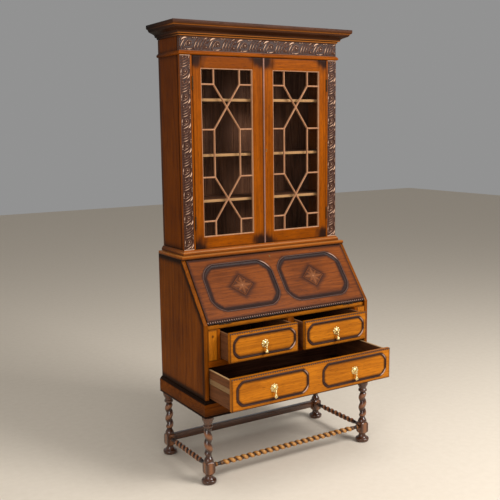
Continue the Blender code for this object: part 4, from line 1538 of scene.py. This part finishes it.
# ---- drawers
@dataclass
class Drawer:
    """A drawer: moulded front, box with runner grooves, and its handles."""

    name: str
    body: str
    panels: Sequence[Point2]
    handles: Sequence[tuple[str, float]]
    margin: float = 0.0175
    corner: float = 0.036
    bow: float = 0.0075
    skin: float = 0.0016

    def build(self) -> None:
        """Make the drawer's pieces."""
        self.low, self.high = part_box(f"{self.name}_front")
        self.face = BACK_Y - self.low[1]
        self.front()
        self.tray()
        for node, x in self.handles:
            Handle(node, self.body, x, self.face).build()

    def front(self) -> None:
        """The show face with its applied mouldings and nicked top."""
        low, high = self.low, self.high
        piece = Piece(f"{self.name}_face")
        x, z = (low[0], high[0]), (low[2], high[2])
        border = edge_stain(x, z, 0.011, 0.75)
        panel_z = (z[0] + self.margin, z[1] - self.margin)

        def stain_and_shade(co: Vector) -> float:
            """Dark border and dark halo inside each moulding.

            Args:
                co: a point of the board.

            Returns:
                Its stain.
            """
            if co.y > low[1] + 0.003:
                return 0.2
            halo = 0.0
            for panel in self.panels:
                gap = cut_gap((co.x, co.z), panel, panel_z, self.corner, self.bow)
                halo = max(halo, 0.80 * band(gap, 0.006, 0.020, 0.008))
            return max(border(co), halo)
        piece.box(x, (self.face - 0.020, self.face - 0.0022), z, rule=stain_and_shade)
        piece.box((x[0] + 0.0010, x[1] - 0.0010), (self.face - 0.003, self.face - self.skin),
                  (z[0] + 0.001, z[1] - 0.001), edge=0.0005, rule=stain_and_shade, step=0.0055)
        profile = [(-0.0030, -0.0004), (-0.0028, 0.0014), (-0.0014, 0.0026), (0.0004, 0.0029),
                   (0.0024, 0.0022), (0.0040, 0.0011), (0.0062, 0.0009), (0.0072, -0.0004)]
        base = self.face - self.skin
        for panel in self.panels:
            framing = Framing(panel, panel_z, self.corner, self.bow, profile, nick=0.0006)
            rings = framing.rings(lambda px, pz, out: (px, depth_y(base + out), pz))

            def crest(co: Vector, right: float = panel[1]) -> float:
                """Painted highlight on the crest, most at the right hand corners, and dark sides.

                Args:
                    co: a point of the board.
                    right: the panel's right edge.

                Returns:
                    Its stain.
                """
                if co.y > depth_y(base + 0.0015):
                    return 0.55
                low_gap = math.hypot(co.x - right + 0.014, co.z - z[0] - 0.031)
                high_gap = math.hypot(co.x - right + 0.012, z[1] - 0.033 - co.z)
                # Painted highlights at the lower and upper right corners of the crest.
                corner_highlight = max(0.95 * (1.0 - smoothstep(0.010, 0.030, low_gap)),
                          0.55 * (1.0 - smoothstep(0.006, 0.024, high_gap)))
                return -0.05 - corner_highlight
            piece.loft(rings, slot=1, caps=False, rule=crest)
        self.nicks(piece, x, z)
        piece.finish([HONEY.material(Grain.ALONG_X), BEAD.material(Grain.ALONG_X)], self.body, "oak_honey",
                     [f"{self.name}_front"])

    def nicks(self, piece: Piece, x: Point2, z: Point2) -> None:
        """Nicked bead along the top edge of the front.

        Args:
            piece: piece to add to.
            x: extent in X.
            z: extent in Z.
        """
        columns = max(8, int((x[1] - x[0] - 0.002) / 0.002))
        rise = nicked_bead(columns, 7, 0.10)
        piece.relief((x[0] + 0.001, x[1] - 0.001), (z[1] - 0.0078, z[1] - 0.0006), rise,
                     lambda px, pz, height: (px, depth_y(self.face - 0.0020 + 0.0018 * height), pz), -1.2,
                     slot=1, tones=(0.9, -0.40))

    def tray(self) -> None:
        """Sides, back and bottom; each side of a drawer with two panels has a ribbed runner groove."""
        low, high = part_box(f"{self.name}_box")
        x, z = (low[0], high[0]), (low[2], high[2])
        back, front = BACK_Y - high[1], BACK_Y - low[1]
        piece = Piece(f"{self.name}_tray")
        ribbed = len(self.panels) > 1
        groove = z[0] + (z[1] - z[0]) * 0.60
        rim = -0.62 if ribbed else -0.20
        courses = [(z[0], z[1] - 0.0022)]
        if ribbed:
            courses = [(z[0], groove - 0.013), (groove + 0.013, z[1] - 0.0022)]
        for sign in (-1, 1):
            outer = x[1] if sign > 0 else x[0]
            inner = outer - sign * 0.010
            skin = outer - sign * 0.004
            piece.box((skin, inner), (back, front), (z[0], z[1] - 0.0022), rule=lambda co: 0.15)
            for course in courses:
                piece.box((outer, skin), (back, front), course, rule=lambda co: -0.06)
            piece.box((outer, inner), (back, front), (z[1] - 0.0021, z[1]), rule=lambda co: rim)
            for strip in (-0.0098, -0.0049, 0.0, 0.0049, 0.0098) if ribbed else ():
                piece.box((outer - sign * 0.0016, skin), (back + 0.002, front - 0.002),
                          (groove + strip - 0.0017, groove + strip + 0.0017), rule=lambda co: -0.60)
        piece.box((x[0] + 0.0102, x[1] - 0.0102), (back, back + 0.010), (z[0], z[1] - 0.003), slot=1)
        piece.box((x[0] + 0.0102, x[1] - 0.0102), (back + 0.0102, front), (z[0] + 0.004, z[0] + 0.0115),
                  slot=1)
        piece.finish([LINING.material(Grain.ALONG_Y), INSIDE.material(Grain.ALONG_X)], self.body, "oak_inner",
                     [f"{self.name}_box"])


@dataclass
class Handle:
    """Cast petal plate and the drop that hangs from it."""

    node: str
    body: str
    x: float
    face: float
    plate_r: float = 0.0202

    def build(self) -> None:
        """Make the plate and the drop."""
        low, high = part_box(f"handle_plate_{self.node}")
        z = (low[2] + high[2]) / 2
        self.plate(z)
        self.drop(z)

    def plate(self, z: float) -> None:
        """A rosette of eight petals, their piercings painted dark rather than cut, with a boss and a post.

        Args:
            z: height of its centre.
        """
        piece = Piece(f"petal_plate_{self.node}")
        plan = [(1.00, 0.0006, 0.16), (1.00, 0.0016, 0.16), (0.92, 0.0026, 0.14),
                (0.78, 0.0030, 0.08), (0.66, 0.0022, 0.03), (0.54, 0.0020, 0.0), (0.46, 0.0030, 0.0),
                (0.40, 0.0040, 0.0), (0.30, 0.0048, 0.0), (0.20, 0.0052, 0.0), (0.165, 0.0070, 0.0),
                (0.155, 0.0150, 0.0), (0.08, 0.0158, 0.0)]
        rings = []
        for scale, out, lobes in plan:
            ring = []
            for i in range(64):
                angle = 2 * math.pi * i / 64
                reach = self.plate_r * scale * (1.0 - lobes * 0.5 + lobes * 0.5 * math.cos(8 * angle))
                rise = out + (0.0008 * math.cos(8 * angle) if 0.6 < scale < 0.95 else 0.0)
                ring.append((self.x + reach * math.cos(angle), depth_y(self.face - 0.0016 + rise),
                             z + reach * math.sin(angle)))
            rings.append(ring)

        def piercing_shade(co: Vector) -> float:
            """Dark piercings between the petals and the boss, painted as the shade seen through holes that
            are not cut.

            Args:
                co: a point of the board.

            Returns:
                Its stain.
            """
            dx, dz = co.x - self.x, co.z - z
            reach = math.hypot(dx, dz) / self.plate_r
            angle = math.atan2(dz, dx)
            # Painted shade where the petals are pierced, and a darker ring round the boss.
            ring = 1.0 - smoothstep(0.05, 0.14, abs(reach - 0.60))
            return 0.95 * ring * smoothstep(-0.2, 0.5, math.cos(8 * angle)) + 0.25 * ring
        piece.loft(rings, rule=piercing_shade)
        piece.finish([BRASS.material()], self.body, "brass", [f"handle_plate_{self.node}"], angle=60.0)

    def drop(self, z: float) -> None:
        """A bell-shaped drop with a ring at the post.

        Args:
            z: height of its pivot.
        """
        pivot = Vector((self.x, depth_y(self.face + 0.0125), z))
        piece = Piece(f"drop_{self.node}")
        profile = [(0.0030, 0.0008), (0.0036, 0.0030), (0.0050, 0.0042), (0.0075, 0.0044), (0.0095, 0.0034),
                   (0.0110, 0.0028), (0.0125, 0.0040), (0.0140, 0.0044), (0.0155, 0.0036), (0.0180, 0.0030),
                   (0.0215, 0.0032), (0.0255, 0.0046), (0.0295, 0.0068), (0.0335, 0.0084), (0.0365, 0.0085),
                   (0.0385, 0.0074), (0.0400, 0.0050), (0.0415, 0.0034), (0.0430, 0.0030), (0.0440, 0.0012)]
        rings = []
        for run, radius in profile:
            rings.append([pivot + Vector((radius * math.cos(2 * math.pi * i / 28),
                                          radius * math.sin(2 * math.pi * i / 28),
                                          -run - 0.0012)) for i in range(28)])
        piece.loft(rings, rule=lambda co: 0.25 if math.hypot(co.x - pivot.x, co.y - pivot.y) < 0.0034
                   else 0.0)
        side = "left" if self.node.endswith("left") else "right"
        owner = f"long_drawer_{side}_drop" if "long" in self.node else f"{side}_drawer_drop"
        piece.finish([BRASS.material()], owner, "brass", [f"handle_drop_{self.node}"], angle=60.0)


# ---- bookcase
@dataclass
class Bookcase:
    """Sides, back, carved front members, mouldings and shelves."""

    half: float = 0.4297
    depth: float = 0.2204
    neck: Point2 = (1.898, 1.916)
    cornice: Point2 = (1.978, 2.041)
    floor: Point2 = (1.0065, 1.0285)
    shelves: Sequence[str] = ("shelf_lower", "shelf_middle", "shelf_upper")

    def build(self) -> None:
        """Make the fixed pieces of the bookcase."""
        for side, sign in (("left", -1), ("right", 1)):
            self.side(side)
            self.pilaster(side, sign)
        self.frieze()
        self.mouldings()
        self.back()
        self.shelving()
        dress_node("bookcase_top", INSIDE.material(Grain.ALONG_X))

    def side(self, side: str) -> None:
        """A side panel with stained borders.

        Args:
            side: left or right.
        """
        low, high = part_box(f"bookcase_side_{side}")
        sign = -1 if side == "left" else 1

        def stain_and_shade(co: Vector) -> float:
            """Dark borders outside, plain inside.

            Args:
                co: a point of the board.

            Returns:
                Its stain.
            """
            if sign * co.x < self.half - 0.002:
                return 0.3
            gap = min(co.y - low[1], high[1] - co.y, (co.z - low[2]) * 0.7)
            top = 0.55 * (1.0 - smoothstep(0.012, 0.032, abs(co.z - 1.905)))
            return max(top, 0.75 * (1.0 - smoothstep(0.001, 0.020, gap)))
        piece = Piece(f"bookcase_panel_{side}")
        piece.box(*spans(low, high), rule=stain_and_shade, step=0.016)
        piece.finish([UPPER.material(Grain.ALONG_Z)], "carcase", "oak_honey", [f"bookcase_side_{side}"])

    def pilaster(self, side: str, sign: int) -> None:
        """A carved upright with a plain bead at the door.

        Args:
            side: left or right.
            sign: -1 on the left, 1 on the right.
        """
        low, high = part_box(f"pilaster_{side}")
        piece = Piece(f"carved_pilaster_{side}")
        piece.box((low[0], high[0]), (self.depth - 0.020, self.depth - 0.0042), (low[2], high[2]), slot=1)
        inner = sign * 0.3712
        piece.box((inner, sign * 0.3785), (self.depth - 0.0045, self.depth - 0.0006),
                  (low[2] + 0.0005, high[2] - 0.0005), slot=1, edge=0.0012)
        field_x = sorted((sign * 0.3790, sign * (self.half - 0.0003)))
        scrolls = Scrolls(high[2] - low[2] - 0.001, field_x[1] - field_x[0], 8, start=1.0 + sign)
        rise = scrolls.height(taper=True)
        piece.relief((low[2] + 0.0005, high[2] - 0.0005), (field_x[0], field_x[1]), rise,
                     lambda pz, px, up: (px, depth_y(self.depth - 0.0036 + 0.0034 * min(1.0, up)), pz), -0.9,
                     tones=(0.62, -0.95))
        piece.finish([CARVED.material(Grain.ALONG_Z), DOOR.material(Grain.ALONG_Z)], "carcase", "oak_dark",
                     [f"pilaster_{side}"])

    def frieze(self) -> None:
        """The carved board under the cornice."""
        low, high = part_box("frieze")
        piece = Piece("carved_frieze")
        piece.box((low[0], high[0]), (self.depth - 0.020, self.depth - 0.0042), (low[2], high[2]))
        scrolls = Scrolls(high[0] - low[0] - 0.001, high[2] - self.neck[1] - 0.0005, 6, start=5.0)
        rise = scrolls.height()
        piece.relief((low[0] + 0.0005, high[0] - 0.0005), (self.neck[1] + 0.0003, high[2]), rise,
                     lambda px, pz, up: (px, depth_y(self.depth - 0.0036 + 0.0034 * min(1.0, up)), pz), -0.9,
                     tones=(0.62, -0.95))
        piece.finish([CARVED.material(Grain.ALONG_X)], "carcase", "oak_dark", ["frieze"])

    def mouldings(self) -> None:
        """Cornice, neck bead and base moulding."""
        z0, z1 = self.cornice
        cove = [(0.0030 + 0.0048 * (1.0 - math.cos(t)), z0 + 0.0005 + 0.0085 * math.sin(t))
                for t in np.linspace(0.0, math.pi / 2, 7)]
        ogee = []
        for i in range(17):
            t = i / 16
            ogee.append((0.0140 + 0.0315 * (t - 0.16 * math.sin(2 * math.pi * t)),
                         1.9895 + 0.0265 * t ** 0.82))
        crown = [(0.0475, 2.0175), (0.0480, 2.0200), (0.0500, 2.0208), (0.0530, 2.0222), (0.0550, 2.0245),
                 (0.0558, 2.0275), (0.0558, 2.0375), (0.0552, 2.0400), (0.0535, z1 - 0.0004)]
        profile = cove + [(0.0118, 1.9880), (0.0135, 1.9882)] + ogee + crown
        profile += [(-0.009, z1 - 0.0004), (-0.009, z0 + 0.0005)]

        def stain_and_shade(co: Vector) -> float:
            """Dark in the coves, painted shade on the sides, and painted highlights on the step fillets and
            the top fillet.

            Args:
                co: a point of the board.

            Returns:
                Its stain.
            """
            # The side returns are painted dark as shade.
            shaded_side = abs(co.x) > self.half + 0.0025 and BACK_Y - co.y < self.depth - 0.004
            if shaded_side:
                return 0.88
            # Painted highlights along the step fillets and on the top fillet.
            highlit_steps = (1.9815, 1.9895, 2.0205, 2.0300)
            near = min(abs(co.z - step) for step in highlit_steps)
            return 0.25 - 1.00 * (1.0 - smoothstep(0.0008, 0.0035, near)) - (0.3 if co.z > 2.0385 else 0.0)
        piece = Piece("cornice_moulding")
        piece.mitred(profile, self.half, self.depth, 0.0, rule=stain_and_shade)
        piece.box((-self.half + 0.0095, self.half - 0.0095), (0.0195, self.depth - 0.0095),
                  (z0 + 0.001, z0 + 0.0135), slot=1)
        piece.box((-self.half + 0.0095, self.half - 0.0095), (0.0003, 0.0192), (z0 + 0.001, z1 - 0.001),
                  slot=1)
        piece.finish([CORNICE.material(Grain.ALONG_X), INSIDE.material(Grain.ALONG_X)], "carcase",
                     "oak_honey", ["cornice"])
        low, high = self.neck
        bead = [(0.0004, low + 0.0003), (0.0022, low + 0.0004), (0.0050, low + 0.0012),
                (0.0074, low + 0.0038), (0.0080, low + 0.0075), (0.0072, low + 0.0112),
                (0.0050, low + 0.0136), (0.0030, low + 0.0142), (0.0026, low + 0.0165),
                (0.0016, high - 0.0003), (0.0004, high - 0.0003)]
        piece = Piece("neck_bead")
        # The side returns of the bead are painted dark as shade.
        piece.mitred(bead, self.half, self.depth, 0.0,
                     rule=lambda co: 0.75 if BACK_Y - co.y < self.depth - 0.006 else 0.0)
        piece.finish([DOOR.material(Grain.ALONG_X)], "carcase", "oak_honey", ["neck_moulding"])
        low, high = self.floor
        base = [(-0.010, low), (0.0088, low), (0.0100, low + 0.0015), (0.0100, low + 0.0105),
                (0.0092, low + 0.0125), (0.0070, low + 0.0135), (0.0066, low + 0.0150),
                (0.0050, low + 0.0180), (0.0028, low + 0.0200), (0.0016, low + 0.0208),
                (0.0014, high), (-0.010, high)]

        def base_shade_and_highlight(co: Vector) -> float:
            """Painted shade on the sides and along the foot, painted highlight on the fillet.

            Args:
                co: a point of the board.

            Returns:
                Its stain.
            """
            if abs(co.x) > self.half + 0.001 and BACK_Y - co.y < self.depth:
                return 0.6
            if abs(co.z - low - 0.0125) < 0.002:
                return -0.6
            return 0.5 if co.z < low + 0.002 else 0.1
        piece = Piece("base_bead")
        piece.mitred(base, self.half, self.depth, 0.0, rule=base_shade_and_highlight)
        inside = self.half - 0.0102
        piece.box((-inside, inside), (0.0002, self.depth - 0.0102), (low + 0.0002, high - 0.0002), slot=1)
        piece.finish([EDGE.material(Grain.ALONG_X), INSIDE.material(Grain.ALONG_X)], "carcase", "oak_honey",
                     ["bookcase_floor"])

    def back(self) -> None:
        """Tongued and grooved upright back boards."""
        low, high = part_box("bookcase_back")
        piece = Piece("tongued_back")
        count = 11
        step = (high[0] - low[0]) / count
        for i in range(count):
            piece.box((low[0] + i * step + 0.0001, low[0] + (i + 1) * step - 0.0001), (0.0, BACK_Y - low[1]),
                      (low[2], high[2]), edge=0.0024)
        piece.finish([INSIDE.material(Grain.ALONG_Z)], "carcase", "oak_inner", ["bookcase_back"])

    def shelving(self) -> None:
        """Shelves with worn front edges, their pegs and the peg holes."""
        for node in self.shelves:
            low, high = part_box(node)
            piece = Piece(f"{node}_board")
            piece.box(*spans(low, high), edge=0.0012)
            piece.box((low[0] + 0.001, high[0] - 0.001), (BACK_Y - low[1] - 0.001, BACK_Y - low[1] + 0.0006),
                      (low[2] + 0.0008, high[2] - 0.0008), edge=0.0004, rule=lambda co: -0.85)
            piece.finish([INSIDE.material(Grain.ALONG_X)], "carcase", "oak_inner", [node])
        pegs = Piece("shelf_pegs")
        holes = Piece("peg_holes")
        wall = self.half - 0.018
        for sign in (-1, 1):
            for depth in (0.045, 0.160):
                for node in self.shelves:
                    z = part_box(node)[0][2] - 0.0032
                    pegs.box((sign * (wall - 0.008), sign * (wall - 0.0002)), (depth - 0.004, depth + 0.004),
                             (z - 0.0028, z + 0.0028), edge=0.0012)
                for i in range(30):
                    z = 1.11 + i * 0.026
                    rings = [[(sign * (wall - out), depth_y(depth + 0.0028 * math.cos(a)),
                               z + 0.0028 * math.sin(a))
                              for a in np.linspace(0, 2 * math.pi, 12, endpoint=False)]
                             for out in (-0.001, 0.0003)]
                    # Each peg hole is a flat disc painted dark as the shade inside a hole.
                    holes.loft(rings, rule=lambda co: 0.95)
        pegs.finish([OLD_BRASS.material()], "carcase", "brass")
        holes.finish([INSIDE.material(Grain.ALONG_Z)], "carcase", "oak_inner")


# ---- doors
@dataclass
class Door:
    """A glazed door: stiles, rails, glazing bars, glass, bead and lock."""

    side: str
    sign: int
    outer: float = 0.369
    inner: float = 0.001
    pane_x: Point2 = (0.056, 0.327)
    pane_z: Point2 = (1.082, 1.843)
    z: Point2 = (1.030, 1.8965)
    face: float = 0.2204
    rows: Sequence[float] = (0.0, 0.093, 0.358, 0.642, 0.907, 1.0)

    def build(self) -> None:
        """Make the door's pieces."""
        self.frame()
        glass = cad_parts[f"door_glass_{self.side}"]
        glass.data.materials.clear()
        glass.data.materials.append(GLASS_MATERIAL)
        for level in ("lower", "upper"):
            dress_node(f"door_hinge_{self.side}_{level}", DARK_BRASS.material(), 0.0)
        if self.sign > 0:
            self.meeting()

    def span(self, low: float, high: float) -> Point2:
        """A pair of X values on this door's side."""
        pair = sorted((self.sign * low, self.sign * high))
        return pair[0], pair[1]

    def frame(self) -> None:
        """Stiles and rails with stained corners, and the lattice in them."""
        piece = Piece(f"glazed_frame_{self.side}")
        whole = self.span(self.inner, self.outer)
        corners = corner_stain(whole, self.z, 0.062, 0.93)
        borders = edge_stain(whole, self.z, 0.004, 0.55)

        def stain_and_shade(co: Vector) -> float:
            """Dark corners, and painted shade along the edges, next to the gaps round the door."""
            return max(corners(co), borders(co))
        depth = (self.face - 0.020, self.face)
        piece.box(self.span(self.pane_x[1], self.outer), depth, self.z, rule=stain_and_shade, step=0.007)
        piece.box(self.span(self.inner, self.pane_x[0]), depth, self.z, rule=stain_and_shade, step=0.007)
        rail = self.span(self.pane_x[0] + 0.0001, self.pane_x[1] - 0.0001)
        piece.box(rail, depth, (self.z[0], self.pane_z[0]), slot=1, rule=stain_and_shade, step=0.007)
        piece.box(rail, depth, (self.pane_z[1], self.z[1]), slot=1, rule=stain_and_shade, step=0.007)
        self.lattice(piece)
        piece.finish([DOOR.material(Grain.ALONG_Z), DOOR.material(Grain.ALONG_X),
                      TAN.material(Grain.ALONG_Z)], f"{self.side}_door", "oak_honey",
                     [f"door_frame_{self.side}"])

    def node_at(self, u: float, v: float) -> Point2:
        """A point of the glazed opening by its fractions."""
        x = self.span(*self.pane_x)
        return x[0] + (x[1] - x[0]) * u, self.pane_z[0] + (self.pane_z[1] - self.pane_z[0]) * v

    def lattice(self, piece: Piece) -> None:
        """Thirteen-pane lattice of rounded bars and the bead round it.

        Args:
            piece: piece to add to.
        """
        rows = self.rows
        bars = []
        for u in (0.25, 0.75):
            bars += [((u, 0.0), (u, rows[1])), ((u, rows[2]), (u, rows[3])), ((u, rows[4]), (u, 1.0))]
        for v in rows[1:5]:
            bars += [((0.0, v), (0.25, v)), ((0.75, v), (1.0, v))]
        for low, high in ((rows[1], rows[2]), (rows[3], rows[4])):
            bars += [((0.25, low), (0.75, high)), ((0.75, low), (0.25, high))]
        for start, stop in bars:
            self.bar(piece, self.node_at(*start), self.node_at(*stop))
        x, z = self.span(*self.pane_x), self.pane_z
        profile = [(-0.0005, self.face - 0.0085), (-0.0005, self.face - 0.0012), (0.0018, self.face - 0.0010),
                   (0.0036, self.face - 0.0022), (0.0044, self.face - 0.0045), (0.0044, self.face - 0.0118),
                   (-0.0005, self.face - 0.0118)]
        rings = []
        for inset, depth in profile:
            corners = ((x[0] + inset, z[0] + inset), (x[1] - inset, z[0] + inset),
                       (x[1] - inset, z[1] - inset), (x[0] + inset, z[1] - inset))
            rings.append([(px, depth_y(depth), pz) for px, pz in corners])
        piece.loft(rings, slot=2, close=True, rule=lambda co: -0.15)

    def bar(self, piece: Piece, start: Point2, stop: Point2) -> None:
        """One astragal bar between two nodes of the lattice.

        Args:
            piece: piece to add to.
            start: (x, z) of one end.
            stop: (x, z) of the other.
        """
        run = Vector((stop[0] - start[0], 0.0, stop[1] - start[1]))
        along = run.normalized()
        across = Vector((-along.z, 0.0, along.x))
        section = [(-0.0040, 0.0118), (-0.0040, 0.0070), (-0.0030, 0.0048), (-0.0015, 0.0035), (0.0, 0.0031),
                   (0.0015, 0.0035), (0.0030, 0.0048), (0.0040, 0.0070), (0.0040, 0.0118)]
        rings = []
        for point, extra in ((start, -0.0006), (stop, 0.0006)):
            origin = Vector((point[0], 0.0, point[1])) + along * extra
            ring = []
            for side, back in section:
                place = origin + across * side
                ring.append((place.x, depth_y(self.face - back), place.z))
            rings.append(ring)
        piece.loft(rings, slot=2, rule=lambda co: -0.05)

    def meeting(self) -> None:
        """Rounded bead on the meeting edge, and the lock's escutcheon."""
        piece = Piece("meeting_bead")
        x = (self.inner - 0.0006, self.inner + 0.0072)
        rings = []
        for z in (self.z[0] + 0.0005, self.z[1] - 0.0005):
            ring = []
            for i in range(11):
                angle = math.pi * i / 10
                ring.append(((x[0] + x[1]) / 2 + (x[1] - x[0]) / 2 * math.cos(angle),
                             depth_y(self.face + 0.0002 + 0.0036 * math.sin(angle)), z))
            rings.append(ring)
        piece.loft(rings, rule=lambda co: -0.20)
        piece.finish([MEETING.material(Grain.ALONG_Z)], f"{self.side}_door", "oak_honey")
        piece = Piece("door_escutcheon")
        rings = []
        for radius, out in ((0.0046, -0.0002), (0.0046, 0.0008), (0.0038, 0.0011), (0.0026, 0.0008),
                            (0.0022, -0.0004)):
            rings.append([(0.0165 + radius * 0.8 * math.cos(2 * math.pi * i / 20), depth_y(self.face + out),
                           1.470 + radius * 1.5 * math.sin(2 * math.pi * i / 20)) for i in range(20)])
        # The foot against the wood and the shallow keyhole are painted dark as shade; the rest of the brass
        # is toned darker.
        piece.loft(rings, rule=lambda co: 0.9 if BACK_Y - co.y < self.face + 0.0003 else 0.35)
        piece.finish([OLD_BRASS.material()], f"{self.side}_door", "brass")


GLASS_MATERIAL = GlassFinish().material()


# ---- studio
@dataclass
class Studio:
    """Camera, floor and lights."""

    eye: tuple[float, float, float] = (-2.0344, -3.4018, 1.5805)
    yaw: float = 31.617
    pitch: float = -9.014
    roll: float = -0.711
    lens: float = 57.035
    shift: Point2 = (-0.0021, 0.0053)

    def build(self) -> None:
        """Set up the view."""
        self.camera()
        self.floor()
        self.area("key_light", (1.9, -3.0, 3.2), (0.0, 0.0, 1.0), 1.8, 165.0)
        self.area("fill_light", (-3.2, -2.2, 1.6), (0.0, 0.1, 0.9), 1.5, 40.0)
        self.area("top_light", (0.0, -0.8, 4.2), (0.0, 0.0, 1.0), 2.5, 45.0)
        world = bpy.data.worlds.new("studio")
        world.use_nodes = True
        world.node_tree.nodes["Background"].inputs[0].default_value = (0.80, 0.80, 0.80, 1.0)
        world.node_tree.nodes["Background"].inputs[1].default_value = 0.36
        bpy.context.scene.world = world
        bpy.context.scene.view_settings.view_transform = "Standard"

    def camera(self) -> None:
        """Camera at the height and angle of a standing viewer, front left."""
        yaw, pitch, roll = (math.radians(value) for value in (self.yaw, self.pitch, self.roll))
        forward = Vector((math.sin(yaw) * math.cos(pitch), math.cos(yaw) * math.cos(pitch), math.sin(pitch)))
        level = Vector((math.cos(yaw), -math.sin(yaw), 0.0))
        upward = level.cross(forward)
        right = level * math.cos(roll) + upward * math.sin(roll)
        up = upward * math.cos(roll) - level * math.sin(roll)
        data = bpy.data.cameras.new("camera")
        data.lens = self.lens
        data.sensor_width = 36.0
        data.shift_x, data.shift_y = self.shift
        made = bpy.data.objects.new("camera", data)
        turned = Matrix((right, up, -forward)).transposed().to_4x4()
        made.matrix_world = Matrix.Translation((self.eye[0], self.eye[1] + BACK_Y, self.eye[2])) @ turned
        bpy.context.scene.collection.objects.link(made)
        bpy.context.scene.camera = made

    def floor(self) -> None:
        """A wide plain floor."""
        mesh = bpy.data.meshes.new("floor")
        bm = bmesh.new()
        bmesh.ops.create_grid(bm, x_segments=1, y_segments=1, size=12.0)
        bm.to_mesh(mesh)
        bm.free()
        mesh.materials.append(FloorFinish().material())
        made = bpy.data.objects.new("floor", mesh)
        bpy.context.scene.collection.objects.link(made)

    def area(self, name: str, place: Sequence[float], target: Sequence[float], size: float,
             power: float) -> None:
        """One soft light aimed at a point.

        Args:
            name: its name.
            place: where it stands.
            target: where it points.
            size: its width.
            power: its watts.
        """
        data = bpy.data.lights.new(name, "AREA")
        data.size = size
        data.energy = power
        made = bpy.data.objects.new(name, data)
        made.location = place
        made.rotation_euler = (Vector(target) - Vector(place)).to_track_quat("-Z", "Y").to_euler()
        bpy.context.scene.collection.objects.link(made)


def main() -> None:
    """Build the desk from the floor up and set the studio."""
    logging.basicConfig(level=logging.INFO, format="%(name)s %(message)s")
    Studio().build()
    Stand().build()
    BureauCase().build()
    Fall().build()
    Drawer("drawer_left", "left_drawer", [(-0.360, -0.033)], [("drawer_left", -0.1975)]).build()
    Drawer("drawer_right", "right_drawer", [(0.033, 0.360)], [("drawer_right", 0.1975)]).build()
    Drawer("drawer_long", "long_drawer", [(-0.411, -0.040), (0.040, 0.411)],
           [("drawer_long_left", -0.223), ("drawer_long_right", 0.223)]).build()
    Bookcase().build()
    Door("left", -1).build()
    Door("right", 1).build()


if __name__ == "__main__":
    main()
